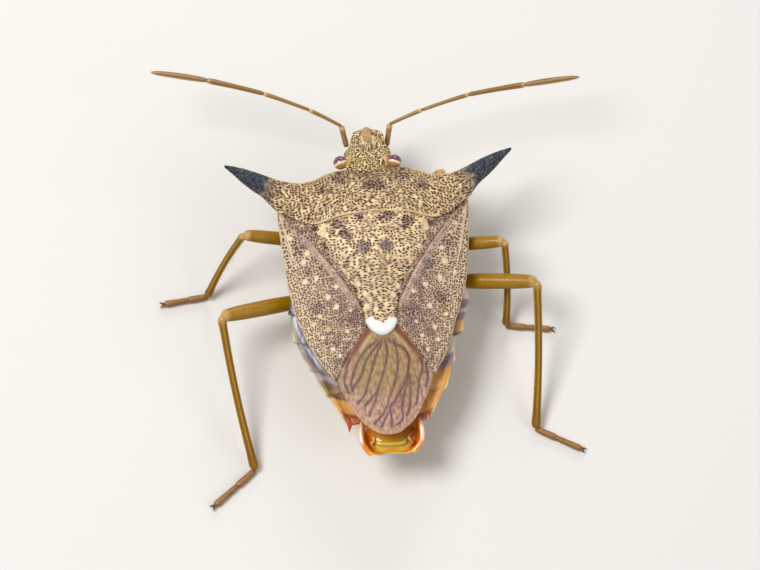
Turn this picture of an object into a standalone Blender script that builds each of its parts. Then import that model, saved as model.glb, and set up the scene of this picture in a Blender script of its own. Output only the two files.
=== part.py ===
"""A spined shield bug, life size, standing on its six feet as a still museum model.

Sizes are in millimetres, in the bug's own frame: x to its right, y forward along its midline, z up from
the floor. Each body is scaled to metres when it is finished, and the whole bug is then moved so that the
middle of its footprint lies on the origin.
"""

import math

import bmesh
import bpy
import numpy as np
from mathutils import Matrix, Vector

MM = 0.001

# Driving sizes: the sclerites
PLATE_SEAM = 0.3
JOINT_SEAM = 0.2
PLATE_THICKNESS = 0.5
WING_THICKNESS = 0.45
SPINE_TIP_X = 6.6
SCUTELLUM_TIP_Y = -2.19
CORIUM_TIP_Y = -3.95
MEMBRANE_ROOT_Y = -2.52
MEMBRANE_CORNER_Y = -4.35
MEMBRANE_TIP_Y = -6.6
MEMBRANE_HALF_WIDTHS = (0.98, 2.12)
VEIN_RISE = 0.1
CAPSULE_TIP_Y = -7.5
HEAD_BACK_Y = 6.05
HEAD_TIP_Y = 8.1

# Heights of the back along the midline and along the wing edge, and the half width between them, by y
RIDGE_Z = ((-6.6, 3.75), (-4.5, 4.1), (-2.2, 4.6), (-0.5, 5.05), (1.0, 5.35), (2.5, 5.5), (3.6, 5.5))
RIM_Z = ((-6.6, 3.5), (-4.0, 3.6), (-2.0, 3.62), (0.0, 3.68), (2.0, 3.8), (4.0, 4.05))
BACK_HALF_WIDTH = ((-6.6, 2.2), (-4.0, 3.1), (-2.0, 3.9), (0.0, 4.25), (4.0, 4.5))

# Pronotum, by distance from the midline: borders, their heights, and the bulge above and below them
PRONOTUM_FRONT_Y = ((0.0, 5.78), (1.2, 5.84), (2.0, 5.70), (2.65, 5.42), (3.4, 5.28), (4.25, 5.42),
                    (4.8, 5.62), (5.65, 5.93), (6.3, 6.09), (SPINE_TIP_X, 6.14))
PRONOTUM_REAR_Y = ((0.0, 3.45), (1.4, 3.38), (2.9, 3.17), (3.6, 3.5), (4.35, 3.95), (4.75, 4.36),
                   (5.0, 4.62), (5.45, 4.95), (5.9, 5.35), (6.3, 5.74), (SPINE_TIP_X, 6.02))
PRONOTUM_FRONT_Z = ((0.0, 4.2), (1.5, 4.2), (2.65, 4.3), (3.4, 4.5), (4.25, 4.72), (5.0, 4.9),
                    (SPINE_TIP_X, 5.2))
PRONOTUM_REAR_Z = ((0.0, 5.3), (1.4, 5.22), (2.9, 4.85), (3.6, 4.62), (4.35, 4.54), (5.0, 4.8),
                   (SPINE_TIP_X, 5.2))
PRONOTUM_CROWN = ((0.0, 0.5), (1.5, 0.5), (3.0, 0.42), (4.3, 0.42), (5.0, 0.36), (5.6, 0.26), (6.2, 0.14),
                  (SPINE_TIP_X, 0.05))
PRONOTUM_DEPTH = ((0.0, 2.7), (0.7, 2.5), (1.3, 1.7), (2.0, 1.0), (3.0, 0.6), (4.0, 0.42), (4.6, 0.38),
                  (5.6, 0.26), (6.2, 0.14), (SPINE_TIP_X, 0.05))
PRONOTUM_STATIONS = (SPINE_TIP_X, 6.48, 6.2, 5.8, 5.4, 5.0, 4.65, 4.3, 3.9, 3.4, 2.9, 2.4, 1.9, 1.5, 1.15, 0.8,
                     0.4)

# Plan outlines of the scutellum and of the leathery fore wing, as half widths by y
SCUTELLUM_HALF_WIDTH = ((-2.2, 0.62), (-1.9, 0.70), (-1.3, 0.73), (-0.9, 0.84), (0.0, 1.08), (0.8, 1.5),
                        (1.75, 2.2), (2.5, 2.6), (3.2, 2.66))
WING_INNER_X = ((-3.95, 2.18), (-3.4, 1.98), (-2.57, 1.36), (-1.95, 1.02), (-1.5, 1.04), (-0.9, 1.15),
                (0.0, 1.38), (0.8, 1.8), (1.75, 2.5), (2.5, 2.9), (3.6, 3.0))
CLAVUS_X = ((-3.95, 2.22), (-2.57, 1.48), (-1.7, 1.25), (-0.9, 1.55), (0.0, 1.98), (0.8, 2.4), (1.75, 2.93),
            (2.8, 3.42), (3.6, 3.8))
WING_VEIN_X = ((-3.95, 2.26), (-2.57, 2.62), (0.0, 3.2), (2.0, 3.7), (3.6, 4.1))
WING_OUTER_X = ((-3.95, 2.34), (-3.6, 2.62), (-3.2, 2.92), (-2.47, 3.35), (-1.72, 3.7), (-0.7, 4.03),
                (0.4, 4.15), (2.2, 4.3), (3.7, 4.43))

# Belly side
THORAX_Y = (0.3, 3.4)
THORAX_HALF_WIDTH = ((0.3, 3.35), (1.8, 3.55), (3.4, 3.45))
STERNUM_Z = 1.85
STERNUM_HALF_WIDTH = 1.0
FLANK_SLOPE = 0.5
ABDOMEN_Y = (-5.4, 0.0)
ABDOMEN_HALF_WIDTH = ((-5.4, 2.12), (-4.8, 2.48), (-4.3, 2.78), (-3.45, 3.16), (-2.6, 3.48), (-2.06, 3.68),
                      (-0.96, 3.95), (0.0, 4.08))
ABDOMEN_MIDDLE_X = ((-5.4, -0.06), (-4.6, -0.06), (-3.45, -0.1), (-2.5, -0.26), (-1.6, -0.28), (0.0, -0.08))
REAR_CORNER_TIPS = {-1: (-1.79, -6.22), 1: (1.97, -5.87)}
BELLY_Z = ((-5.4, 2.35), (-4.5, 1.75), (-3.5, 1.4), (-2.2, 1.28), (-1.2, 1.45), (-0.6, 1.85), (0.0, 2.2))
SEGMENT_SUTURES_Y = (-0.6, -1.95, -3.3, -4.55, -5.4)
CAPSULE_MIDDLE_X = 0.14
CAPSULE_HALF_WIDTH = ((-7.5, 0.9), (-7.4, 1.12), (-7.0, 1.38), (-6.5, 1.46), (-6.1, 1.45), (-5.7, 1.25))

# Head, by y; its back is set a little to the left, as the head is turned
HEAD_MIDDLE_X = ((6.05, -0.1), (6.4, -0.09), (7.4, 0.0), (8.1, 0.0))
HEAD_HALF_WIDTH = ((6.05, 0.72), (6.5, 0.74), (6.68, 0.9), (6.85, 1.06), (7.0, 0.97), (7.2, 0.85), (7.4, 0.79),
                   (7.65, 0.78), (7.82, 0.7), (7.93, 0.5), (8.02, 0.3), (8.1, 0.14))
HEAD_TOP_Z = ((6.05, 4.3), (6.6, 4.14), (7.05, 3.9), (7.5, 3.65), (7.9, 3.44), (8.1, 3.25))
HEAD_EDGE_Z = ((6.05, 3.98), (6.6, 3.78), (7.05, 3.52), (7.9, 3.2), (8.1, 3.12))
HEAD_UNDER_Z = ((6.05, 2.75), (7.05, 2.78), (7.9, 2.86), (8.1, 2.98))
EYE_CENTRES = {"left": (-1.3, 6.32, 3.9), "right": (1.13, 6.26, 3.9)}
EYE_RADII = (0.29, 0.3, 0.31)

# Beak: centreline (y, z) and radius, from the head back between the legs
BEAK = ((7.78, 2.6, 0.14), (7.6, 2.48, 0.22), (7.2, 2.3, 0.25), (6.5, 2.12, 0.25), (6.4, 2.08, 0.2),
        (6.25, 2.02, 0.25), (5.2, 1.62, 0.25), (5.1, 1.59, 0.2), (4.95, 1.55, 0.24), (4.1, 1.42, 0.23),
        (3.3, 1.4, 0.15))

# Antennae: joints from the head outwards, left and right, and the radius of a feeler in the solids
FEELER_RADIUS = 0.25
FEELERS = {
    "left": ((-0.95, 7.4, 2.72), (-1.14, 8.28, 3.12), (-2.62, 9.04, 3.6), (-4.68, 9.87, 3.9), (-7.26, 10.6, 4.15),
             (-9.82, 11.12, 4.3)),
    "right": ((0.93, 7.33, 2.72), (1.14, 8.23, 3.12), (2.66, 8.7, 3.6), (4.86, 9.21, 3.9), (7.5, 9.44, 4.15),
              (10.03, 9.6, 4.3)),
}

# Legs: coxa, knee, ankle and toe of each, then the femur's, tibia's and tarsus's radii
LEGS = {
    "front_left": ((-0.95, 4.1, 1.7), (-3.1, 5.25, 3.2), (-2.85, 5.0, 0.7), (-3.0, 6.15, 0.22)),
    "front_right": ((0.95, 4.1, 1.7), (3.36, 5.74, 3.35), (2.8, 5.05, 0.7), (3.1, 6.15, 0.22)),
    "middle_left": ((-1.05, 3.0, 1.6), (-6.02, 3.24, 3.5), (-7.85, 1.28, 0.7), (-9.9, 1.06, 0.22)),
    "middle_right": ((1.05, 2.66, 1.6), (5.96, 2.16, 3.5), (5.96, -1.0, 0.7), (8.01, -1.32, 0.22)),
    "hind_left": ((-1.1, 0.75, 1.6), (-7.28, -0.51, 3.3), (-6.2, -7.08, 0.66), (-8.13, -8.65, 0.22)),
    "hind_right": ((1.1, 1.1, 1.6), (7.32, 0.19, 3.3), (6.94, -5.98, 0.66), (8.97, -7.12, 0.22)),
}
LEG_RADII = {"front": (0.27, 0.25), "middle": (0.31, 0.25), "hind": (0.35, 0.26)}
FOOT_RADIUS = 0.25
TROCHANTER_DROP = 0.35
CLAW_LENGTH = 0.3
CLAW_SPREAD = math.radians(28)

# Colours and roughness of the cuticle
DORSAL_BROWN = ((0.33, 0.24, 0.14, 1), 0.5)
HORN_BLACK = ((0.03, 0.03, 0.05, 1), 0.4)
WING_BROWN = ((0.30, 0.22, 0.16, 1), 0.5)
MEMBRANE_BROWN = ((0.24, 0.16, 0.10, 1), 0.35)
LEG_AMBER = ((0.42, 0.22, 0.04, 1), 0.35)
BELLY_OCHRE = ((0.45, 0.30, 0.14, 1), 0.45)
CAPSULE_ORANGE = ((0.75, 0.25, 0.02, 1), 0.25)
EYE_MAROON = ((0.15, 0.04, 0.06, 1), 0.2)


def smooth(pairs, at):
    """Value at a place on the smooth curve through (place, value) pairs, which never overshoots them."""
    xs = [pair[0] for pair in pairs]
    ys = [pair[1] for pair in pairs]
    at = min(max(at, xs[0]), xs[-1])
    steps = [(ys[i + 1] - ys[i]) / (xs[i + 1] - xs[i]) for i in range(len(xs) - 1)]
    slopes = [steps[0]]
    for before, after in zip(steps, steps[1:]):
        slopes.append(0.0 if before * after <= 0 else 2 * before * after / (before + after))
    slopes.append(steps[-1])
    i = min(max(int(np.searchsorted(xs, at)) - 1, 0), len(steps) - 1)
    width = xs[i + 1] - xs[i]
    t = (at - xs[i]) / width
    rise = ys[i + 1] - ys[i]
    bend = slopes[i] * width - rise
    bow = rise - slopes[i + 1] * width
    return ys[i] + rise * t + t * (1 - t) * (bend * (1 - t) + bow * t)


def blend(low, high, share):
    return low + (high - low) * share


def rounded(value, power):
    """The value raised to a power, with its sign kept."""
    return math.copysign(abs(value) ** power, value)


def back_height(x, y):
    """Height of the folded wings and scutellum over a point of the floor."""
    rim = smooth(RIM_Z, y)
    across = min(abs(x) / smooth(BACK_HALF_WIDTH, y), 1.0)
    return rim + (smooth(RIDGE_Z, y) - rim) * (1 - across * across)


def face_out(mesh):
    """Turns every face of a closed bmesh outwards."""
    bmesh.ops.recalc_face_normals(mesh, faces=mesh.faces)
    if mesh.calc_volume(signed=True) < 0:
        bmesh.ops.reverse_faces(mesh, faces=mesh.faces)


def finish(name, mesh, look, smooth_angle=40):
    """Names a closed bmesh, scales it to metres and gives it its look."""
    face_out(mesh)
    bmesh.ops.transform(mesh, matrix=Matrix.Scale(MM, 4), verts=mesh.verts)
    data = bpy.data.meshes.new(name)
    mesh.to_mesh(data)
    mesh.free()
    data.shade_smooth()
    data.set_sharp_from_angle(angle=math.radians(smooth_angle))
    colour, roughness = look
    material = bpy.data.materials.new(name)
    material.use_nodes = True
    shader = material.node_tree.nodes["Principled BSDF"]
    shader.inputs["Base Color"].default_value = colour
    shader.inputs["Roughness"].default_value = roughness
    data.materials.append(material)
    node = bpy.data.objects.new(name, data)
    bpy.context.scene.collection.objects.link(node)
    return node


def grow(sections):
    """A closed body grown from its first section to its last by extruding the end face."""
    mesh = bmesh.new()
    bmesh.ops.create_circle(mesh, cap_ends=True, segments=len(sections[0]))
    mesh.faces.ensure_lookup_table()
    end = mesh.faces[0]
    start = list(end.verts)
    for vertex, place in zip(start, sections[0]):
        vertex.co = place
    for section in sections[1:]:
        end = bmesh.ops.extrude_discrete_faces(mesh, faces=[end])["faces"][0]
        for vertex, place in zip(end.verts, section):
            vertex.co = place
    mesh.faces.new(reversed(start))
    return mesh


def plate(columns, rows, place, thickness):
    """A closed plate: a grid laid out by place(across, along), each from 0 to 1, and thickened downwards."""
    mesh = bmesh.new()
    bmesh.ops.create_grid(mesh, x_segments=columns, y_segments=rows, size=1)
    shares = {vertex: ((vertex.co.x + 1) / 2, (vertex.co.y + 1) / 2) for vertex in mesh.verts}
    made = bmesh.ops.extrude_face_region(mesh, geom=list(mesh.faces))
    under = [item for item in made["geom"] if isinstance(item, bmesh.types.BMVert)]
    for vertex in under:
        shares[vertex] = ((vertex.co.x + 1) / 2, (vertex.co.y + 1) / 2)
    for vertex, (across, along) in shares.items():
        vertex.co = place(across, along)
    for vertex in under:
        vertex.co.z -= thickness
    return mesh


def fuse(name, meshes, look):
    """One closed body from several overlapping ones."""
    group = bpy.data.collections.new(name + "_pieces")
    for number, mesh in enumerate(meshes[1:]):
        face_out(mesh)
        data = bpy.data.meshes.new(f"{name}_piece_{number}")
        mesh.to_mesh(data)
        mesh.free()
        group.objects.link(bpy.data.objects.new(data.name, data))
    face_out(meshes[0])
    data = bpy.data.meshes.new(name + "_core")
    meshes[0].to_mesh(data)
    meshes[0].free()
    core = bpy.data.objects.new(name + "_core", data)
    bpy.context.scene.collection.objects.link(core)
    bpy.context.scene.collection.children.link(group)
    union = core.modifiers.new("union", "BOOLEAN")
    union.operation = "UNION"
    union.operand_type = "COLLECTION"
    union.collection = group
    union.solver = "EXACT"
    bpy.context.view_layer.update()
    joined = bmesh.new()
    joined.from_object(core, bpy.context.evaluated_depsgraph_get())
    for piece in [core, *group.objects]:
        bpy.data.objects.remove(piece)
    bpy.data.collections.remove(group)
    bmesh.ops.dissolve_degenerate(joined, dist=0.002, edges=joined.edges)
    return finish(name, joined, look)


def ring_along(centre, direction, radius, sides, squash=1.0, floor=None):
    """A round section square to a direction, with its lower side cut flat at the floor if one is given."""
    direction = Vector(direction).normalized()
    side = direction.cross(Vector((0, 0, 1)))
    side = side.normalized() if side.length > 1e-6 else Vector((1, 0, 0))
    lift = side.cross(direction)
    points = []
    for k in range(sides):
        angle = 2 * math.pi * (k + 0.5) / sides
        point = Vector(centre) + side * (radius * math.cos(angle)) + lift * (radius * squash * math.sin(angle))
        if floor is not None:
            point.z = max(point.z, floor)
        points.append(point)
    return points


def tube(stations, sides, squash=1.0, floor=None):
    """A closed tube through (point, radius) stations, each section square to the way on."""
    points = [Vector(point) for point, _ in stations]
    sections = []
    for i, (point, radius) in enumerate(stations):
        way = points[min(i + 1, len(points) - 1)] - points[max(i - 1, 0)]
        sections.append(ring_along(point, way, radius, sides, squash, floor))
    return grow(sections)


def make_pronotum():
    """The shoulder shield with its two horns, and the forebreast under it, as one body grown across."""
    sides = 22
    stations = [-x for x in PRONOTUM_STATIONS] + [0.0] + list(reversed(PRONOTUM_STATIONS))
    sections = []
    for x in stations:
        out = abs(x)
        front, rear = smooth(PRONOTUM_FRONT_Y, out), smooth(PRONOTUM_REAR_Y, out)
        front_z, rear_z = smooth(PRONOTUM_FRONT_Z, out), smooth(PRONOTUM_REAR_Z, out)
        section = []
        for k in range(sides):
            angle = 2 * math.pi * k / sides
            along = rounded(math.cos(angle), 0.75)
            y = blend(rear, front, (along + 1) / 2)
            z = blend(rear_z, front_z, (along + 1) / 2)
            lift = math.sin(angle)
            z += smooth(PRONOTUM_CROWN, out) * max(lift, 0) ** 0.8
            z -= smooth(PRONOTUM_DEPTH, out) * max(-lift, 0) ** 0.9
            section.append((x, y, z))
        sections.append(section)
    finish("pronotum", grow(sections), DORSAL_BROWN)


def make_scutellum():
    """The shield between the wings, broad in front and narrowed to a rounded tip."""
    def place(across, along):
        side = 2 * across - 1
        tip = SCUTELLUM_TIP_Y + 0.5 * (1 - math.sqrt(1 - 0.9 * side * side))
        base = smooth(PRONOTUM_REAR_Y, 2.5 * abs(side)) - PLATE_SEAM
        y = blend(tip, base, along)
        x = side * smooth(SCUTELLUM_HALF_WIDTH, y)
        return Vector((x, y, back_height(x, y) + 0.12 * (1 - side ** 4)))

    finish("scutellum", plate(12, 13, place, PLATE_THICKNESS), DORSAL_BROWN)


def make_wing(name, sign):
    """The leathery part of a fore wing: clavus, groove, corium, raised vein and outer strip, side by side."""
    lines = (WING_INNER_X, CLAVUS_X, WING_VEIN_X, WING_OUTER_X)
    columns = (2, 4, 3)
    share_of_line = np.cumsum((0,) + columns) / sum(columns)

    def place(across, along):
        y = blend(blend(2.83, 3.6, across), CORIUM_TIP_Y, along)
        spot = min(int(np.searchsorted(share_of_line, across, side="right")) - 1, len(columns) - 1)
        local = (across - share_of_line[spot]) / (share_of_line[spot + 1] - share_of_line[spot])
        x = blend(smooth(lines[spot], y), smooth(lines[spot + 1], y), local)
        groove = 0.12 if abs(across - share_of_line[1]) < 1e-3 else 0.0
        ridge = 0.08 if abs(across - share_of_line[2]) < 1e-3 else 0.0
        fade = math.sin(math.pi * min(max(along, 0.02), 0.98)) ** 0.5
        return Vector((sign * x, y, back_height(x, y) + (ridge - groove) * fade))

    finish(name, plate(sum(columns), 15, place, WING_THICKNESS), WING_BROWN)


def membrane_place(first, last, veins):
    """Where a membrane's grid lies: a fan from the scutellum's tip to the rounded end, ridged along its veins."""
    def place(across, along):
        side = blend(first, last, across)
        end = blend(MEMBRANE_CORNER_Y, MEMBRANE_TIP_Y, (1 - abs(side) ** 1.6) ** 0.8)
        y = blend(MEMBRANE_ROOT_Y, end, along)
        x = side * blend(*MEMBRANE_HALF_WIDTHS, min(along * 1.25, 1.0) ** 0.8)
        vein = 0.5 + 0.5 * math.cos(2 * math.pi * veins * across)
        rise = VEIN_RISE * vein * math.sin(math.pi * min(along + 0.12, 0.97)) ** 0.5
        return Vector((x, y, back_height(x, y) - VEIN_RISE / 2 + rise))

    return place


def make_membranes():
    """The thin wing tips: the left one lies over the right one, of which a strip shows."""
    over = membrane_place(-1.0, 0.6, 9)
    finish("membrane_left", plate(27, 9, over, PLATE_THICKNESS), MEMBRANE_BROWN)
    under = membrane_place(0.76, 1.0, 1)
    finish("membrane_right", plate(3, 9, under, PLATE_THICKNESS), MEMBRANE_BROWN)


def make_thorax():
    """The trunk between the shoulder shield and the abdomen, its flanks sloping in to the breast."""
    sides = 22
    sections = []
    for y in np.linspace(THORAX_Y[0], THORAX_Y[1], 7):
        half = smooth(THORAX_HALF_WIDTH, y)
        section = []
        for k in range(sides):
            angle = 2 * math.pi * k / sides
            x = half * rounded(math.cos(angle), 0.8)
            top = back_height(x, y) - PLATE_THICKNESS - PLATE_SEAM - 0.05
            flank = STERNUM_Z + max(abs(x) - STERNUM_HALF_WIDTH, 0.0) * FLANK_SLOPE
            share = 0.5 + 0.5 * rounded(math.sin(angle), 0.35)
            section.append((x, y, blend(flank, top, share)))
        sections.append(section)
    finish("thorax", grow(sections), BELLY_OCHRE)


def abdomen_section(y, flare):
    """A section of the abdomen: a flat back under the wings, a thin rim and a deep belly."""
    sides = 26
    half, middle = smooth(ABDOMEN_HALF_WIDTH, y) * flare, smooth(ABDOMEN_MIDDLE_X, y)
    belly = smooth(BELLY_Z, y)
    section = []
    for k in range(sides):
        angle = 2 * math.pi * k / sides
        x = half * rounded(math.cos(angle), 0.8)
        across = min(abs(x) / half, 1.0)
        rim = back_height(half, y) - PLATE_THICKNESS - PLATE_SEAM
        if math.sin(angle) >= 0:
            z = back_height(x, y) - PLATE_THICKNESS - PLATE_SEAM - 0.02
        else:
            z = rim - 0.28 - (rim - 0.28 - belly) * math.sqrt(max(1 - across * across, 0)) ** 0.9
        section.append((middle + x, y, z))
    return section


def make_abdomen():
    """The abdomen, its edge stepped at each segment, with the last segment's two pointed corners."""
    notch, flare = 0.985, 1.015
    marks = [ABDOMEN_Y[1], *SEGMENT_SUTURES_Y]
    sections = []
    for start, end in zip(marks, marks[1:]):
        for share in (0.04, 0.5, 0.96):
            sections.append(abdomen_section(blend(start, end, share), blend(notch, flare, share)))
    pieces = [grow(sections)]
    for sign, (tip_x, tip_y) in REAR_CORNER_TIPS.items():
        corner = [((sign * 1.8, -4.9, 2.66), 0.22), ((sign * 1.9, -5.4, 2.66), 0.2),
                  ((tip_x, tip_y + 0.25, 2.68), 0.12), ((tip_x, tip_y, 2.7), 0.03)]
        pieces.append(tube(corner, 8, squash=0.75))
    fuse("abdomen", pieces, BELLY_OCHRE)


def make_capsule():
    """The male's cup-shaped genital capsule, hollowed above, with raised side rims."""
    sides = 26
    sections = []
    for y in (-5.7, -5.95, -6.25, -6.6, -6.95, -7.2, -7.38, CAPSULE_TIP_Y):
        half = smooth(CAPSULE_HALF_WIDTH, y)
        hollow = 0.42 * math.sin(math.pi * min(max((y + 7.48) / 1.75, 0.0), 1.0)) ** 0.6
        section = []
        for k in range(sides):
            angle = 2 * math.pi * k / sides
            x = half * rounded(math.cos(angle), 0.8)
            across = min(abs(x) / half, 1.0)
            if math.sin(angle) >= 0:
                z = 2.92 - hollow * (1 - across ** 4) - 0.12 * across ** 8
            else:
                z = 2.7 - 0.72 * math.sqrt(max(1 - across * across, 0)) * smooth(((-7.5, 0.35), (-6.8, 1.0)), y)
            section.append((CAPSULE_MIDDLE_X + x, y, z))
        sections.append(section)
    finish("genital_capsule", grow(sections), CAPSULE_ORANGE)


def make_head():
    """The head: a sloping plate of clypeus and cheeks over a narrower throat."""
    sides = 28
    sections = []
    for y in (HEAD_BACK_Y, 6.35, 6.65, 6.85, 7.02, 7.2, 7.42, 7.65, 7.82, 7.93, 8.02, HEAD_TIP_Y):
        half, middle = smooth(HEAD_HALF_WIDTH, y), smooth(HEAD_MIDDLE_X, y)
        edge, top, under = smooth(HEAD_EDGE_Z, y), smooth(HEAD_TOP_Z, y), smooth(HEAD_UNDER_Z, y)
        section = []
        for k in range(sides):
            angle = 2 * math.pi * k / sides
            lift = math.sin(angle)
            x = half * rounded(math.cos(angle), 0.85)
            if lift >= 0:
                groove = 0.08 * math.exp(-(((abs(x) - 0.3) / 0.1) ** 2)) if 7.1 < y < 8.0 else 0.0
                z = blend(edge, top, lift ** 0.8) - groove
            else:
                x *= 1 - 0.55 * min(-lift * 2.2, 1.0)
                z = blend(edge - 0.12, under, -lift)
            section.append((middle + x, y, z))
        sections.append(section)
    finish("head", grow(sections), DORSAL_BROWN)


def make_eye(name, centre):
    """A bulging round eye at the head's rear corner."""
    mesh = bmesh.new()
    bmesh.ops.create_uvsphere(mesh, u_segments=14, v_segments=9, radius=1)
    bmesh.ops.scale(mesh, vec=EYE_RADII, verts=mesh.verts)
    bmesh.ops.translate(mesh, vec=centre, verts=mesh.verts)
    finish(name, mesh, EYE_MAROON)


def make_beak():
    """The jointed beak, laid back under the head and breast."""
    stations = [((0, y, z), radius) for y, z, radius in BEAK]
    finish("beak", tube(stations, 8), LEG_AMBER)


def make_feeler(side, joints):
    """A five-jointed feeler: its first joint by the head, and the four long ones beyond the elbow."""
    base, elbow = Vector(joints[0]), Vector(joints[1])
    way = (elbow - base).normalized()
    scape = [(base, 0.7), (base + way * 0.12, 1.0), (elbow - way * 0.1, 1.0), (elbow, 0.75)]
    scape = [(point, share * FEELER_RADIUS) for point, share in scape]
    finish(f"antenna_{side}_base", tube(scape, 8), LEG_AMBER)
    stations = []
    for number, (start, end) in enumerate(zip(joints[1:], joints[2:])):
        start, end = Vector(start), Vector(end)
        way = (end - start).normalized()
        if number == 0:
            start = start + way * (FEELER_RADIUS + JOINT_SEAM / 3)
        last = number == 3
        stations += [(start, 0.72), (start + way * 0.15, 1.0), ((start + end) / 2, 1.0)]
        stations += [(end - way * 0.5, 0.85), (end - way * 0.15, 0.6), (end, 0.2)] if last else [
            (end - way * 0.15, 1.0), (end - way * 0.02, 0.72)]
    stations = [(point, share * FEELER_RADIUS) for point, share in stations]
    finish(f"antenna_{side}", tube(stations, 8), LEG_AMBER)


def make_leg(name, coxa, knee, ankle, toe):
    """One leg: coxa and femur, tibia, and a tarsus of three joints with two claws, flat on the floor."""
    coxa, knee, ankle, toe = (Vector(point) for point in (coxa, knee, ankle, toe))
    thigh, shin = LEG_RADII[name.split("_")[0]]
    hip = coxa + Vector((0.35 * math.copysign(1, coxa.x), 0, -TROCHANTER_DROP))
    way = knee - hip
    length = way.length
    way.normalize()
    femur = [(coxa, 0.24), (coxa.lerp(hip, 0.5), 0.27), (hip, thigh * 0.9), (hip + way * length * 0.3, thigh),
             (hip + way * length * 0.65, thigh), (knee - way * 0.3, thigh * 0.86), (knee, thigh * 0.8)]
    finish(name + "_femur", tube(femur, 10), LEG_AMBER)
    down = (ankle - knee).normalized()
    top = knee + down * (thigh + JOINT_SEAM)
    tibia = [(top, shin * 0.85), (top + down * 0.25, shin), (knee.lerp(ankle, 0.5), shin),
             (ankle - down * 0.35, shin), (ankle, shin * 0.8)]
    finish(name + "_tibia", tube(tibia, 8), LEG_AMBER)
    heel = Vector((ankle.x, ankle.y, toe.z))
    along = (toe - heel).normalized()
    heel = heel + along * 0.1
    span = (toe - heel).length
    joints = ((0.0, 0.8), (0.05, 1.0), (0.4, 1.0), (0.44, 0.86), (0.48, 1.0), (0.62, 1.0), (0.66, 0.86), (0.7, 1.0),
              (0.93, 1.0), (1.0, 0.86))
    foot = [(heel + along * span * share, FOOT_RADIUS * size) for share, size in joints]
    pieces = [tube(foot, 8, floor=0.0)]
    for sign in (-1, 1):
        point = Matrix.Rotation(sign * CLAW_SPREAD, 3, "Z") @ along
        aside = Matrix.Rotation(math.radians(90 * sign), 3, "Z") @ along
        root = toe - along * 0.15 + aside * 0.045 + Vector((0, 0, 0.02))
        claw = [(root, 0.08), (root + point * CLAW_LENGTH * 0.75, 0.075),
                (root + point * CLAW_LENGTH * 1.1 - Vector((0, 0, 0.06)), 0.05),
                (root + point * CLAW_LENGTH * 1.3 - Vector((0, 0, 0.13)), 0.02)]
        pieces.append(tube(claw, 6))
    fuse(name + "_tarsus", pieces, LEG_AMBER)


def centre_on_origin():
    """Moves every body by one shift, so that the middle of the whole bug's footprint is at the origin."""
    bodies = [item for item in bpy.context.scene.objects if item.type == "MESH"]
    corners = [vertex.co for body in bodies for vertex in body.data.vertices]
    low = [min(corner[axis] for corner in corners) for axis in range(3)]
    high = [max(corner[axis] for corner in corners) for axis in range(3)]
    shift = Vector((-(low[0] + high[0]) / 2, -(low[1] + high[1]) / 2, -low[2]))
    for body in bodies:
        body.data.transform(Matrix.Translation(shift))


def main():
    for item in list(bpy.data.objects):
        bpy.data.objects.remove(item)
    make_head()
    for side, sign in (("left", -1), ("right", 1)):
        make_eye(f"eye_{side}", EYE_CENTRES[side])
        make_wing(f"wing_{side}", sign)
        make_feeler(side, FEELERS[side])
    make_beak()
    make_pronotum()
    make_scutellum()
    make_membranes()
    make_thorax()
    make_abdomen()
    make_capsule()
    for name, joints in LEGS.items():
        make_leg(name, *joints)
    centre_on_origin()


main()
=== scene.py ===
"""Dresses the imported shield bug: pitted plates, veined wing tips, a glossy tail capsule, legs and feelers.

Pieces are drawn in the bug's own millimetres: x to its right, y forward along its midline, z up from the
floor. Each is carried into the frame's metres when it is finished.
"""

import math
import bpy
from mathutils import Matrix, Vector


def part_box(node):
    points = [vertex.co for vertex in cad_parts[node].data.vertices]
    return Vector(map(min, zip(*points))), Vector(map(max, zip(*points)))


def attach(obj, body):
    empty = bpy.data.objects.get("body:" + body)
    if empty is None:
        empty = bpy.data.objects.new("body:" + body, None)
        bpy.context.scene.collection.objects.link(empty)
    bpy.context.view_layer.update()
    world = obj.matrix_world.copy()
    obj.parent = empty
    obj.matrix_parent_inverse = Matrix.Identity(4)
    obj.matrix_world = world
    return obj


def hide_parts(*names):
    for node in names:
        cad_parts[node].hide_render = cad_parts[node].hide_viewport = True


bl_info = {
    "name": "Spined Shield Bug",
    "version": (1, 0, 0),
    "blender": (4, 5, 0),
    "location": "View3D > Sidebar > Shield Bug",
    "description": "Adds the finished surfaces of a life-size spined shield bug to its solid frame",
    "category": "Add Mesh",
}

import bmesh
import bpy
import numpy as np
from mathutils import Matrix, Vector, noise

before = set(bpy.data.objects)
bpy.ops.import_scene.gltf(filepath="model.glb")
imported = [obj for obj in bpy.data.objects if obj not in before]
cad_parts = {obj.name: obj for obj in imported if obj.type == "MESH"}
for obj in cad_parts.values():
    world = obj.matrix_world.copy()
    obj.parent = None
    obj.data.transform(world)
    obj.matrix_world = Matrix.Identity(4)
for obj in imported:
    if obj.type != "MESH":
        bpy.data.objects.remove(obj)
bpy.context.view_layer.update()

MM = 0.001
CAPSULE_TIP_Y = -7.5
MIDLINE_X = sum(corner.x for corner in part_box("pronotum")) / 2
BODY_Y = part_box("genital_capsule")[0].y - CAPSULE_TIP_Y * MM
TO_FRAME = Matrix.Translation((MIDLINE_X, BODY_Y, 0)) @ Matrix.Scale(MM, 4)
SIDES = (("left", -1), ("right", 1))

# Heights of the back along the midline and along the wing edge, and the half width between them, by y
RIDGE_Z = ((-6.6, 3.75), (-4.5, 4.1), (-2.2, 4.6), (-0.5, 5.05), (1.0, 5.34), (2.5, 5.485), (3.6, 5.47))
RIM_Z = ((-6.6, 3.5), (-4.0, 3.6), (-2.0, 3.62), (0.0, 3.68), (2.0, 3.8), (4.0, 4.05))
BACK_HALF_WIDTH = ((-6.6, 2.2), (-4.0, 3.1), (-2.0, 3.9), (0.0, 4.25), (4.0, 4.5))

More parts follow.
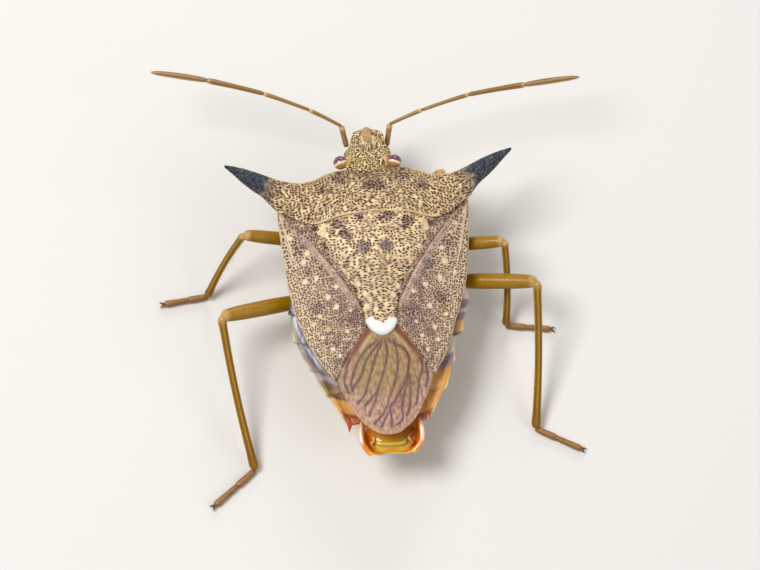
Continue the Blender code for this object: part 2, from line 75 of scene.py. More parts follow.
# Pronotum, by distance from the midline: borders, their heights, and the bulge above and below them
SPINE_TIP_X = 6.6
SPINES_LEFT = 0.1
PRONOTUM_FRONT_Y = ((0.0, 5.78), (1.2, 5.84), (2.0, 5.70), (2.65, 5.42), (3.4, 5.28), (4.25, 5.42),
                    (4.8, 5.62), (5.65, 5.93), (6.3, 6.09), (SPINE_TIP_X, 6.14))
PRONOTUM_REAR_Y = ((0.0, 3.43), (1.4, 3.36), (2.7, 3.12), (3.3, 3.3), (3.9, 3.72), (4.35, 3.95), (4.75, 4.36),
                   (5.0, 4.62), (5.45, 4.95), (5.9, 5.35), (6.3, 5.74), (SPINE_TIP_X, 6.02))
PRONOTUM_FRONT_Z = ((0.0, 4.2), (1.5, 4.2), (2.65, 4.3), (3.4, 4.5), (4.25, 4.72), (5.0, 4.9),
                    (SPINE_TIP_X, 5.2))
PRONOTUM_REAR_Z = ((0.0, 5.56), (1.4, 5.43), (2.9, 4.96), (3.6, 4.68), (4.35, 4.56), (5.0, 4.84),
                   (SPINE_TIP_X, 5.2))
PRONOTUM_CROWN = ((0.0, 0.6), (1.5, 0.58), (3.0, 0.46), (4.3, 0.42), (5.0, 0.36), (5.6, 0.26), (6.2, 0.13),
                  (SPINE_TIP_X, 0.02))
PRONOTUM_DEPTH = ((0.0, 2.7), (0.7, 2.5), (1.3, 1.7), (2.0, 1.0), (3.0, 0.6), (4.0, 0.42), (4.6, 0.38),
                  (5.6, 0.26), (6.2, 0.13), (SPINE_TIP_X, 0.02))

# Plan lines of the scutellum and the leathery fore wing, as distances from the midline by y
SCUTELLUM_TIP_Y = -2.2
SCUTELLUM_X = ((-2.2, 0.60), (-1.9, 0.70), (-1.45, 0.74), (-1.15, 0.74), (-0.9, 0.84), (0.0, 1.14), (0.8, 1.58),
               (1.4, 2.03), (2.05, 2.38), (2.55, 2.62), (3.2, 2.84))
WING_INNER_X = ((-3.95, 2.18), (-3.4, 1.92), (-2.57, 1.34), (-1.9, 0.82), (-1.5, 0.62), (-0.9, 0.62),
                (0.0, 0.86), (0.8, 1.3), (1.75, 1.95), (2.5, 2.35), (3.6, 2.5))
CLAVUS_X = ((-3.95, 2.19), (-2.57, 1.36), (-1.9, 0.86), (-1.3, 0.72), (-0.9, 0.8), (-0.42, 1.1), (0.27, 1.5),
            (0.9, 1.88), (1.47, 2.3), (2.2, 2.8), (2.5, 3.05), (3.0, 3.4), (3.6, 3.9))
EMBOLIUM_X = ((-3.95, 2.24), (-3.2, 2.5), (-2.2, 2.8), (-1.2, 3.02), (-0.6, 3.16), (0.4, 3.42), (1.0, 3.6),
              (1.9, 3.85), (2.65, 4.0), (3.6, 4.22))
WING_OUTER_X = {
    "left": ((-3.95, 2.32), (-3.84, 2.4), (-3.38, 2.71), (-2.98, 2.99), (-2.46, 3.26), (-2.0, 3.47), (-1.49, 3.66),
             (-0.97, 3.86), (-0.4, 3.97), (0.05, 4.06), (0.44, 4.13), (2.2, 4.3), (3.7, 4.43)),
    "right": ((-3.95, 2.29), (-3.48, 2.55), (-3.33, 2.67), (-2.42, 3.12), (-1.98, 3.26), (-1.61, 3.37), (-1.24, 3.51),
              (-0.87, 3.66), (-0.44, 3.79), (0.0, 3.94), (0.5, 4.07), (2.2, 4.3), (3.7, 4.43)),
}
CORIUM_TIP_Y = -3.95

# Membranes: the fan's root, its end by the share of its half width, its half widths at root and end, and the
# chief veins as (x, y) points
MEMBRANE_ROOT_Y = -1.75
MEMBRANE_END_Y = ((0.0, -6.62), (0.2, -6.54), (0.42, -6.22), (0.6, -5.8), (0.75, -5.22), (0.86, -4.75),
                  (0.95, -4.25), (1.0, -3.85))
MEMBRANE_HALF_WIDTHS = (0.62, 2.22)
VEINS = (
    ((-0.18, -2.1), (-0.35, -2.4), (-0.87, -2.8), (-1.25, -3.29), (-1.48, -3.85), (-1.6, -4.17), (-1.57, -4.52)),
    ((-0.14, -2.15), (-0.2, -2.46), (-0.68, -3.01), (-0.96, -3.46), (-1.14, -3.93), (-1.52, -4.38)),
    ((-0.08, -2.2), (-0.11, -2.52), (-0.39, -3.03), (-0.63, -3.69), (-0.88, -4.39), (-1.05, -4.81), (-1.32, -5.08)),
    ((0.02, -2.2), (0.09, -2.58), (0.1, -3.06), (-0.03, -3.63), (-0.34, -4.43), (-0.58, -5.1), (-0.87, -5.71)),
    ((-0.31, -4.35), (-0.5, -4.71), (-0.78, -5.0), (-1.03, -5.25)),
    ((0.3, -2.2), (0.53, -2.6), (0.58, -3.38), (0.49, -3.95), (0.19, -4.76), (-0.11, -5.47), (-0.38, -5.84),
     (-0.65, -6.07)),
    ((0.12, -2.15), (0.29, -2.44), (0.82, -2.76), (1.09, -3.11), (1.06, -3.59), (0.93, -4.07), (0.64, -4.64),
     (0.31, -5.16), (-0.08, -5.77), (-0.36, -6.24)),
    ((0.31, -5.16), (0.09, -5.39), (0.12, -5.78), (0.13, -6.27)),
    ((1.09, -3.5), (0.93, -4.36), (0.71, -5.03), (0.63, -5.52), (0.65, -5.91), (0.38, -6.19)),
    ((1.06, -3.98), (1.05, -4.8), (0.98, -5.43), (0.83, -5.82)),
    ((1.62, -3.2), (1.7, -3.7), (1.52, -4.18), (1.42, -4.81), (1.29, -5.3)),
    ((1.85, -3.5), (1.92, -4.0), (1.8, -4.5)),
    ((-1.6, -3.1), (-1.8, -3.6), (-1.88, -4.1), (-1.75, -4.6)),
)

# Colour marks: (x, y, radius) of dark smudges and of pale, raised, unpitted warts
SHOULDER_SMUDGES = ((-1.45, 5.49, 0.42), (1.3, 5.46, 0.42), (-0.1, 4.82, 0.3), (0.25, 4.78, 0.26), (0.0, 5.7, 0.5),
                    (-0.6, 5.65, 0.3), (2.3, 4.7, 0.2), (-2.3, 4.75, 0.2))
SCUTELLUM_SMUDGES = ((-1.78, 2.95, 0.26), (-1.5, 2.55, 0.22), (-1.25, 2.35, 0.14), (1.45, 2.9, 0.26), (1.3, 2.62, 0.14),
                     (0.62, 3.16, 0.26), (0.25, 3.1, 0.14), (-0.75, 3.2, 0.18), (-2.42, 2.05, 0.2), (2.22, 1.9, 0.14),
                     (-1.2, -0.15, 0.17), (-0.9, -0.75, 0.14), (0.9, -0.55, 0.18), (1.1, 0.1, 0.16),
                     (0.75, -1.1, 0.12))
SCUTELLUM_SPOTS = ((-0.62, 1.79, 0.32), (0.39, 1.76, 0.3))
BASAL_PITS = ((-2.78, 2.93, 0.13), (2.56, 2.86, 0.13))
SCUTELLUM_CALLUSES = ((-2.3, 3.0, 0.1), (-2.42, 2.92, 0.12), (-2.46, 2.78, 0.12), (-2.42, 2.64, 0.1),
                      (-2.34, 2.52, 0.08), (2.12, 2.96, 0.1), (2.25, 2.86, 0.12), (2.3, 2.7, 0.12),
                      (2.25, 2.56, 0.09))
SCUTELLUM_WARTS = ((-1.63, 0.78, 0.1), (-0.98, 0.12, 0.11), (-0.7, -0.33, 0.09), (-0.65, -0.92, 0.11),
                   (1.95, 1.74, 0.09), (0.82, -0.08, 0.09), (0.57, -0.47, 0.11))
WING_SMUDGES = {
    "left": ((-3.5, 2.2, 0.3), (-2.9, -0.7, 0.32), (-1.2, -1.3, 0.25), (-3.2, 1.1, 0.2)),
    "right": ((2.75, -0.55, 0.3), (3.3, 2.0, 0.24), (1.6, 1.9, 0.3), (1.4, -1.3, 0.3), (2.3, 0.9, 0.25)),
}
WING_GOLD = ((-2.82, -1.28, 0.12), (-2.62, -1.5, 0.1), (-2.42, -1.66, 0.12), (3.0, -0.9, 0.14), (2.85, -1.15, 0.1))
WING_WARTS = {
    "left": ((-3.2, 1.89, 0.11), (-3.39, 1.53, 0.11), (-3.36, 0.63, 0.11), (-2.84, 0.66, 0.09),
             (-1.98, 0.14, 0.09), (-2.39, -0.26, 0.11), (-2.03, -0.77, 0.10), (-1.42, -0.99, 0.07),
             (-2.79, -1.07, 0.09), (-2.45, -1.69, 0.10), (-2.76, -2.03, 0.07), (-3.91, 2.71, 0.09),
             (-3.11, -1.37, 0.07), (-1.6, -1.9, 0.08), (-2.3, -2.6, 0.09), (-2.0, -2.95, 0.08)),
    "right": ((3.0, 1.73, 0.08), (3.09, 1.12, 0.11), (2.79, 0.36, 0.11), (2.11, 0.01, 0.10),
              (1.51, -0.31, 0.08), (2.22, -0.96, 0.10), (2.4, -1.91, 0.09), (1.55, -1.65, 0.07),
              (3.54, 0.63, 0.09), (1.81, -2.27, 0.09), (2.51, -2.45, 0.09), (2.98, -1.3, 0.07),
              (2.0, -2.9, 0.08), (3.75, 2.9, 0.08)),
}

# Head, by y; its back is set a little to the left, as the head is turned
HEAD_BACK_Y = 5.6
HEAD_TIP_Y = 8.1
HEAD_MIDDLE_X = ((5.6, -0.1), (6.4, -0.09), (7.4, 0.0), (8.1, 0.0))
HEAD_HALF_WIDTH = ((5.6, 0.95), (6.0, 1.02), (6.35, 1.06), (6.6, 1.1), (6.8, 1.06), (7.0, 0.95), (7.2, 0.83),
                   (7.4, 0.79), (7.6, 0.79), (7.76, 0.74), (7.88, 0.62), (7.94, 0.48), (7.98, 0.28),
                   (8.04, 0.19), (8.1, 0.06))
CLYPEUS_HALF_WIDTH = ((5.6, 0.2), (6.7, 0.2), (7.1, 0.2), (7.37, 0.25), (7.6, 0.26), (8.1, 0.18))
HEAD_TOP_Z = ((5.6, 4.3), (6.0, 4.36), (6.3, 4.3), (6.6, 4.18), (7.05, 3.94), (7.5, 3.68), (7.9, 3.46), (8.1, 3.28))
HEAD_EDGE_Z = ((5.6, 3.9), (6.6, 3.8), (7.05, 3.54), (7.9, 3.24), (8.1, 3.16))
HEAD_UNDER_Z = ((5.6, 2.7), (7.05, 2.78), (7.9, 2.9), (8.1, 3.04))
EYES = {"left": (-1.34, 6.28, 3.94), "right": (1.16, 6.19, 3.94)}
EYE_RADII = (0.33, 0.32, 0.32)
OCELLI = ((-0.83, 6.16, 4.31), (0.63, 6.12, 4.31))
OCELLUS_RADIUS = 0.06

# Underside, by y
THORAX_Y = (0.05, 3.6)
THORAX_HALF_WIDTH = ((0.05, 3.75), (1.8, 3.85), (2.8, 3.75), (3.2, 3.58), (3.45, 3.25), (3.6, 2.7))
STERNUM_Z = 1.85
ABDOMEN_Y = (-5.62, 0.25)
ABDOMEN_HALF_WIDTH = ((-5.62, 1.98), (-4.8, 2.48), (-4.3, 2.78), (-3.45, 3.16), (-2.6, 3.48), (-2.06, 3.68),
                      (-0.96, 3.95), (0.25, 4.1))
ABDOMEN_MIDDLE_X = ((-5.62, -0.06), (-4.6, -0.06), (-3.45, -0.1), (-2.5, -0.26), (-1.6, -0.28), (0.25, -0.05))
BELLY_Z = ((-5.62, 2.35), (-4.5, 1.75), (-3.5, 1.4), (-2.2, 1.28), (-1.2, 1.45), (-0.6, 1.85), (0.25, 2.0))
SEGMENT_SUTURES_Y = (0.25, -0.6, -1.95, -3.3, -4.55, -5.62)
# The blocks of colour on the abdomen's rim, each down to its y
RIM_BLOCKS = {
    "left": ((-0.75, "rim_black"), (-2.05, "rim_grey"), (-3.35, "rim_grey"), (-3.8, "rim_plum"), (-4.55, "rim_olive"), (-5.3, "rim_orange"), (-7, "rim_red")),
    "right": ((-0.35, "rim_mauve"), (-0.72, "rim_plum"), (-0.9, "rim_mauve"), (-1.25, "rim_plum"),
              (-1.85, "rim_tan"), (-2.0, "rim_olive"), (-2.85, "rim_mauve"), (-3.4, "rim_plum"), (-4.35, "rim_orange"), (-5.4, "rim_orange"), (-7, "rim_red")),
}
REAR_CORNER_TIPS = {-1: (-1.79, -6.22), 1: (1.97, -5.87)}
CAPSULE_CENTRE = (0.11, -6.48)
CAPSULE_HALF_WIDTH = 1.46
CAPSULE_LIPS = (
    ((-1.1, -5.6, 2.78), (-1.22, -5.95, 2.9), (-1.28, -6.35, 2.95), (-1.24, -6.75, 2.96), (-1.04, -7.15, 2.93),
     (-0.84, -7.38, 2.88)),
    ((1.28, -5.55, 2.8), (1.42, -5.95, 2.92), (1.5, -6.35, 2.97), (1.47, -6.75, 2.98), (1.3, -7.1, 2.95),
     (1.0, -7.34, 2.88)),
)
BEAK = ((7.85, 2.95, 0.07), (7.7, 2.6, 0.14), (7.4, 2.4, 0.16), (6.45, 2.12, 0.16), (6.4, 2.1, 0.13),
        (6.33, 2.07, 0.16), (5.1, 1.6, 0.15), (5.05, 1.58, 0.12), (4.98, 1.56, 0.14), (4.1, 1.42, 0.12),
        (3.3, 1.4, 0.05))

# Feelers: joints from the head outwards, with the radii of the five lengths
FEELERS = {
    "left": ((-0.95, 7.4, 2.72), (-1.14, 8.3, 3.12), (-2.62, 9.04, 3.6), (-4.68, 9.87, 3.9), (-7.26, 10.6, 4.15),
             (-9.81, 11.11, 4.3)),
    "right": ((0.91, 7.33, 2.72), (1.12, 8.25, 3.12), (2.66, 8.7, 3.6), (4.86, 9.21, 3.9), (7.5, 9.44, 4.15),
              (10.02, 9.6, 4.3)),
}
FEELER_RADII = (0.135, 0.088, 0.092, 0.125, 0.14)

# Legs: hip, knee, ankle and toe of each, with the greatest radii of thigh and shin
FOOT_RADIUS = 0.165
LEGS = {
    "front_left": ((-0.95, 4.1, 1.7), (-3.1, 5.25, 3.2), (-2.85, 5.0, 0.3), (-3.0, 6.15, FOOT_RADIUS)),
    "front_right": ((0.95, 4.1, 1.7), (3.36, 5.74, 3.35), (2.8, 5.05, 0.3), (3.1, 6.15, FOOT_RADIUS)),
    "middle_left": ((-1.05, 3.0, 1.6), (-6.02, 3.24, 3.5), (-7.85, 1.3, 0.3), (-9.88, 1.06, FOOT_RADIUS)),
    "middle_right": ((1.05, 2.66, 1.6), (5.96, 2.16, 3.5), (5.96, -1.02, 0.3), (8.01, -1.32, FOOT_RADIUS)),
    "hind_left": ((-1.1, 0.75, 1.6), (-7.28, -0.51, 3.3), (-6.18, -7.12, 0.3), (-8.13, -8.65, FOOT_RADIUS)),
    "hind_right": ((1.1, 1.1, 1.6), (7.32, 0.19, 3.3), (6.94, -6.03, 0.3), (8.97, -7.12, FOOT_RADIUS)),
}
THIGH_RADIUS = {"front": 0.27, "middle": 0.315, "hind": 0.365}
SHIN_RADIUS = {"front": 0.16, "middle": 0.175, "hind": 0.195}
TROCHANTER_DROP = 0.35

# Camera and stage
CAMERA_AZIMUTH = math.radians(-10)
CAMERA_ELEVATION = math.radians(75)
CAMERA_ROLL = math.radians(6)
CAMERA_DISTANCE = 180 * MM
CAMERA_TARGET = (0, 0, 5.2)
VIEW_WIDTH = 34.58 * MM


def linear(hex_code):
    """A colour's linear red, green and blue from its sRGB hex code."""
    parts = [int(hex_code[i:i + 2], 16) / 255 for i in (1, 3, 5)]
    return tuple(v / 12.92 if v <= 0.04045 else ((v + 0.055) / 1.055) ** 2.4 for v in parts)


def smooth(pairs, at):
    """Value at a place on the smooth curve through (place, value) pairs, which never overshoots them."""
    xs, ys = np.array(pairs, float).T
    widths = np.diff(xs)
    steps = np.diff(ys) / widths
    before, after = steps[:-1], steps[1:]
    together = np.where(before * after <= 0, 1.0, before + after)
    inner = np.where(before * after <= 0, 0.0, 2 * before * after / together)
    slopes = np.concatenate([steps[:1], inner, steps[-1:]])
    at = np.clip(at, xs[0], xs[-1])
    i = np.clip(np.searchsorted(xs, at) - 1, 0, len(steps) - 1)
    t = (at - xs[i]) / widths[i]
    rise = ys[i + 1] - ys[i]
    bend = slopes[i] * widths[i] - rise
    bow = rise - slopes[i + 1] * widths[i]
    return ys[i] + rise * t + t * (1 - t) * (bend * (1 - t) + bow * t)


def blend(low, high, share):
    return low + (high - low) * share


def ease(low, high, value):
    """Rises smoothly from 0 at low to 1 at high."""
    t = np.clip((np.asarray(value, float) - low) / (high - low), 0, 1)
    return t * t * (3 - 2 * t)


def rounded(value, power):
    """The value raised to a power, with its sign kept."""
    return np.sign(value) * np.abs(value) ** power


def bump_at(distance, width):
    return np.exp(-(distance / width) ** 2)


def ripple(points, pitch, seed=0.0):
    """Smooth noise at each point, about -0.5 to 0.5, with bumps about a pitch apart."""
    shift = Vector((seed, 2 * seed, -seed))
    return np.array([noise.noise(Vector(point) / pitch + shift) for point in points])


def spots(points, marks, softness=0.35):
    """1 inside the (x, y, radius) marks and 0 outside them, with an uneven soft edge."""
    wander = ripple(points, 0.16, 3.7) * 0.5
    found = np.zeros(len(points))
    for x, y, radius in marks:
        away = np.hypot(points[:, 0] - x, points[:, 1] - y) / radius + wander
        found = np.maximum(found, 1 - ease(1 - softness, 1 + softness, away))
    return found


def midline(y):
    """Where the middle of the scutellum lies: a little to the left in front, as the bug is slightly turned."""
    return -0.1 * ease(-2.6, 0.5, y)


def back_height(x, y):
    """Height of the folded wings and scutellum over a point of the floor."""
    rim = smooth(RIM_Z, y)
    across = np.minimum(np.abs(x) / smooth(BACK_HALF_WIDTH, y), 1.0)
    return rim + (smooth(RIDGE_Z, y) - rim) * (1 - across * across)


def grow(sections, dents=None):
    """A closed body grown from its first section to its last by extruding the end face.

    The layer named skin keeps each point's way along the body and round it, in millimetres, for its pits, and
    how deep it lies in a furrow, from 0 to 1.
    """
    sections = np.asarray(sections, float)
    dents = np.zeros(sections.shape[:2]) if dents is None else dents
    steps = np.linalg.norm(np.roll(sections, -1, axis=1) - sections, axis=2)
    whole = steps.sum(axis=1, keepdims=True)
    about = np.cumsum(steps, axis=1) - steps
    about = np.where(about > whole / 2, about - whole, about)
    middles = sections.mean(axis=1)
    along = np.concatenate([[0.0], np.cumsum(np.linalg.norm(np.diff(middles, axis=0), axis=1))])
    mesh = bmesh.new()
    skin = mesh.verts.layers.float_vector.new("skin")
    bmesh.ops.create_circle(mesh, cap_ends=True, segments=sections.shape[1])
    mesh.faces.ensure_lookup_table()
    end = mesh.faces[0]
    start = list(end.verts)
    for number, section in enumerate(sections):
        if number:
            end = bmesh.ops.extrude_discrete_faces(mesh, faces=[end])["faces"][0]
        for vertex, place, turn, dent in zip(end.verts, section, about[number], dents[number]):
            vertex.co = place
            vertex[skin] = (along[number], turn, dent)
    mesh.faces.new(reversed(start))
    return mesh


def plate(columns, rows, place, thickness):
    """A closed plate: a grid laid out by place(across, along), each from 0 to 1, and thickened downwards.

    Its skin spreads down its side walls, so that the pits go on there at their own size.
    """
    mesh = bmesh.new()
    skin = mesh.verts.layers.float_vector.new("skin")
    bmesh.ops.create_grid(mesh, x_segments=columns, y_segments=rows, size=1)
    bmesh.ops.extrude_face_region(mesh, geom=list(mesh.faces), use_keep_orig=True)
    mesh.verts.ensure_lookup_table()
    flat = np.array([vertex.co.to_2d() for vertex in mesh.verts]) / 2 + 0.5
    points = place(flat[:, 0], flat[:, 1])
    under = np.arange(len(points)) >= len(points) // 2
    points[under, 2] -= thickness
    middle = points.mean(axis=0)
    spread = 1 + 2 * thickness / np.ptp(points[:, 0])
    for vertex, point, below in zip(mesh.verts, points, under):
        vertex.co = point
        x, y, _ = middle + (point - middle) * (spread if below else 1)
        vertex[skin] = (x, y, 0)
    return mesh


def edge_roll(across, along, width, columns_mm, rows_mm):
    """How far a plate's rim is rounded down: 0 inside, 1 at its very edge."""
    sideways = np.minimum(across, 1 - across) * columns_mm
    lengthways = np.minimum(along, 1 - along) * rows_mm
    near = np.clip(1 - np.minimum(sideways, lengthways) / width, 0, 1)
    return 1 - np.sqrt(np.maximum(1 - near ** 2, 0))


def path_points(joints, count):
    """Points set evenly along a path of straight lengths through joints."""
    joints = np.array(joints, float)
    lengths = np.linalg.norm(np.diff(joints, axis=0), axis=1)
    marks = np.concatenate([[0], np.cumsum(lengths)])
    wanted = np.linspace(0, marks[-1], count)
    return np.stack([np.interp(wanted, marks, joints[:, axis]) for axis in range(3)], axis=1)


def limb(points, radii, sides=16, flatten=1.0, furrow=0.0):
    """A closed limb round a path of points; radii are (share, radius) pairs, and two furrows run along its top."""
    points = np.array(points, float)
    share = np.linspace(0, 1, len(points))
    ways = np.gradient(points, axis=0)
    ways /= np.linalg.norm(ways, axis=1, keepdims=True)
    aside = np.cross(ways, (0, 0, 1))
    aside /= np.linalg.norm(aside, axis=1, keepdims=True)
    lift = np.cross(aside, ways)
    turn = 2 * np.pi * np.arange(sides) / sides
    near = sum(bump_at(np.angle(np.exp(1j * (turn - side * 0.6))), 0.28) for side in (-1, 1))
    dents = near[None, :] * np.clip(np.sin(np.pi * share) * 4, 0, 1)[:, None] * (furrow > 0)
    radius = smooth(radii, share)[:, None] * (1 - furrow * dents)
    sideways = (radius * np.sin(turn))[:, :, None] * aside[:, None, :]
    upwards = (radius * flatten * np.cos(turn))[:, :, None] * lift[:, None, :]
    return grow(points[:, None, :] + sideways + upwards, dents)


def face_out(mesh):
    """Turns every face of a closed bmesh outwards."""
    bmesh.ops.recalc_face_normals(mesh, faces=mesh.faces)
    if mesh.calc_volume(signed=True) < 0:
        bmesh.ops.reverse_faces(mesh, faces=mesh.faces)


def finish(name, mesh, material, nodes=(), marks=None):
    """Makes a bmesh a piece: keeps its marks as attributes, places it in the frame and fixes it to the body."""
    face_out(mesh)
    data = bpy.data.meshes.new(name)
    mesh.to_mesh(data)
    mesh.free()
    points = np.empty(len(data.vertices) * 3, np.float32)
    data.vertices.foreach_get("co", points)
    points = points.reshape(-1, 3).astype(float)
    for label, values in (marks(points) if marks else {}).items():
        values = np.asarray(values, np.float32)
        if values.ndim == 1:
            layer = data.attributes.new(label, "FLOAT", "POINT")
            layer.data.foreach_set("value", values)
        else:
            layer = data.attributes.new(label, "FLOAT_COLOR", "POINT")
            layer.data.foreach_set("color", np.hstack([values, np.ones((len(values), 1))]).ravel())
    data.transform(TO_FRAME)
    data.shade_smooth()
    data.materials.append(material)
    piece = bpy.data.objects.new(name, data)
    bpy.context.scene.collection.objects.link(piece)
    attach(piece, "root")
    if nodes:
        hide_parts(*nodes)
    return piece


def add_node(tree, kind, inputs=None, **settings):
    """Adds one node; each input is given a value, or linked where the value is another node's socket."""
    made = tree.nodes.new(kind)
    for label, value in settings.items():
        setattr(made, label, value)
    for label, value in (inputs or {}).items():
        if isinstance(value, bpy.types.NodeSocket):
            tree.links.new(value, made.inputs[label])
        else:
            made.inputs[label].default_value = value
    return made


def mixed(tree, share, first, second):
    """A colour between two others; each may be a socket or a linear colour."""
    first = first if isinstance(first, bpy.types.NodeSocket) else (*first, 1)
    second = second if isinstance(second, bpy.types.NodeSocket) else (*second, 1)
    made = add_node(tree, "ShaderNodeMix", {0: share, 6: first, 7: second}, data_type="RGBA")
    return made.outputs[2]


def marked(tree, label):
    """The value of one of a piece's marks."""
    return add_node(tree, "ShaderNodeAttribute", attribute_name=label).outputs["Fac"]


def new_material(name):
    material = bpy.data.materials.new(name)
    material.use_nodes = True
    return material, material.node_tree, material.node_tree.nodes["Principled BSDF"]


def pitted_chitin(name, ground, shade, pit, pitch, pit_size, stretch=(1.0, 1.0), overlays=(), rough=0.46,
                  uneven=0.2, join=0.1, scatter=0.6, sway=1.2, ring=0.5, ridge=None):
    """Dry cuticle closely punched with round pits, a pitch apart in millimetres, each in a darker ring.

    Overlays are (mark, colour, strength) laid over the ground in turn. Where the rows mark is up, the pits run
    together into wavy cross lines. Pale marks have no pits, and horn has none either: it is wrinkled instead.
    Where a ridge colour is given, the crests of the horn's wrinkles take it as a painted highlight.
    """
    material, tree, shader = new_material(name)
    skin = add_node(tree, "ShaderNodeAttribute", attribute_name="skin").outputs["Vector"]
    dots = (stretch, join, scatter, (0.2, 0.2), (0.5 * sway, sway))
    lines = ((0.66 * stretch[0], 1.4 * stretch[1]), 0.3, scatter + 0.15, (0.24, 0.09), (0.5 * sway, 1.4 * sway))
    coarse = add_node(tree, "ShaderNodeMath", {0: marked(tree, "coarse"), 1: -0.2, 2: 1.0},
                      operation="MULTIPLY_ADD")
    distances = []
    for spread, smoothness, randomness, waves, sways in (dots, lines):
        long_waves = add_node(tree, "ShaderNodeVectorMath",
                              {0: skin, 1: (waves[0] / pitch, waves[1] / pitch, 0)}, operation="MULTIPLY")
        wander = add_node(tree, "ShaderNodeTexNoise", {"Vector": long_waves.outputs[0], "Scale": 1.0, "Detail": 1.0},
                          noise_dimensions="2D")
        centred = add_node(tree, "ShaderNodeVectorMath", {0: wander.outputs["Color"], 1: (0.5, 0.5, 0.5)},
                           operation="SUBTRACT")
        bent = add_node(tree, "ShaderNodeVectorMath",
                        {0: centred.outputs[0], 1: (sways[0] * pitch, sways[1] * pitch, 0), 2: skin},
                        operation="MULTIPLY_ADD")
        evened = add_node(tree, "ShaderNodeVectorMath", {0: bent.outputs[0], "Scale": coarse.outputs[0]},
                          operation="SCALE")
        scaled = add_node(tree, "ShaderNodeVectorMath",
                          {0: evened.outputs[0], 1: (spread[0] / pitch, spread[1] / pitch, 0)}, operation="MULTIPLY")
        cells = add_node(tree, "ShaderNodeTexVoronoi",
                         {"Vector": scaled.outputs[0], "Scale": 1.0, "Randomness": randomness,
                          "Smoothness": smoothness}, voronoi_dimensions="2D", feature="SMOOTH_F1")
        distances.append(cells.outputs["Distance"])
    distance = add_node(tree, "ShaderNodeMix", {0: marked(tree, "rows"), 2: distances[0], 3: distances[1]})
    patches = add_node(tree, "ShaderNodeTexNoise", {"Vector": skin, "Scale": 0.3 / pitch, "Detail": 2.0},
                       noise_dimensions="2D")
    dusk, pale, horn = marked(tree, "dusk"), marked(tree, "pale"), marked(tree, "horn")
    swell = add_node(tree, "ShaderNodeMapRange",
                     {"Value": patches.outputs["Fac"], "From Min": 0.38, "From Max": 0.62,
                      "To Min": pit_size * (1 - uneven), "To Max": pit_size * (1 + uneven)})
    darker = add_node(tree, "ShaderNodeMath", {0: dusk, 1: 0.15, 2: swell.outputs["Result"]},
                      operation="MULTIPLY_ADD")
    bare = add_node(tree, "ShaderNodeMath", {0: pale, 1: horn}, operation="ADD")
    radius = add_node(tree, "ShaderNodeMath", {0: bare.outputs[0], 1: -0.9, 2: darker.outputs[0]},
                      operation="MULTIPLY_ADD")
    depths = []
    for inside, outside in ((-0.07, 0.07), (0.0, 0.26)):
        inner = add_node(tree, "ShaderNodeMath", {0: radius.outputs[0], 1: inside})
        outer = add_node(tree, "ShaderNodeMath", {0: radius.outputs[0], 1: outside})
        edge = add_node(tree, "ShaderNodeMapRange",
                        {"Value": distance.outputs[0], "From Min": inner.outputs[0],
                         "From Max": outer.outputs[0], "To Min": 1.0, "To Max": 0.0},
                        interpolation_type="SMOOTHSTEP")
        depths.append(edge.outputs["Result"])
    pits, rings = depths
    blotches = add_node(tree, "ShaderNodeTexNoise", {"Vector": skin, "Scale": 2.6, "Detail": 3.0},
                        noise_dimensions="2D").outputs["Fac"]
    tone = add_node(tree, "ShaderNodeMapRange", {"Value": blotches, "From Min": 0.38, "From Max": 0.62})
    colour = mixed(tree, tone.outputs["Result"], shade, ground)
    for label, tint, strength in overlays:
        share = add_node(tree, "ShaderNodeMath", {0: marked(tree, label), 1: strength}, operation="MULTIPLY")
        colour = mixed(tree, share.outputs[0], colour, tint)
    ringed = add_node(tree, "ShaderNodeMath", {0: rings, 1: ring}, operation="MULTIPLY")
    colour = mixed(tree, ringed.outputs[0], colour, shade)
    colour = mixed(tree, pits, colour, pit)
    wrinkles = add_node(tree, "ShaderNodeTexNoise",
                        {"Vector": skin, "Scale": 10.0, "Detail": 3.0, "Distortion": 1.6}).outputs["Fac"]
    # Painted highlight: the crests of the horn's wrinkles are painted paler, standing in for their shine
    if ridge:
        crest_highlights = add_node(tree, "ShaderNodeMapRange", {"Value": wrinkles, "From Min": 0.5, "From Max": 0.66})
        bare_crest_highlights = add_node(tree, "ShaderNodeMath", {0: crest_highlights.outputs["Result"], 1: horn}, operation="MULTIPLY")
        colour = mixed(tree, bare_crest_highlights.outputs[0], colour, ridge)
    wrinkling = add_node(tree, "ShaderNodeMath", {0: horn, 1: 5.0, 2: 0.25}, operation="MULTIPLY_ADD")
    ruggedness = add_node(tree, "ShaderNodeMath", {0: wrinkling.outputs[0], 1: wrinkles}, operation="MULTIPLY")
    height = add_node(tree, "ShaderNodeMath", {0: rings, 1: -1.0, 2: ruggedness.outputs[0]},
                      operation="MULTIPLY_ADD")
    relief = add_node(tree, "ShaderNodeBump",
                      {"Height": height.outputs[0], "Strength": 0.8, "Distance": 0.16 * pitch * MM})
    dull = add_node(tree, "ShaderNodeMapRange", {"Value": pits, "To Min": rough, "To Max": 0.75})
    tree.links.new(colour, shader.inputs["Base Color"])
    tree.links.new(dull.outputs["Result"], shader.inputs["Roughness"])
    tree.links.new(relief.outputs["Normal"], shader.inputs["Normal"])
    return material


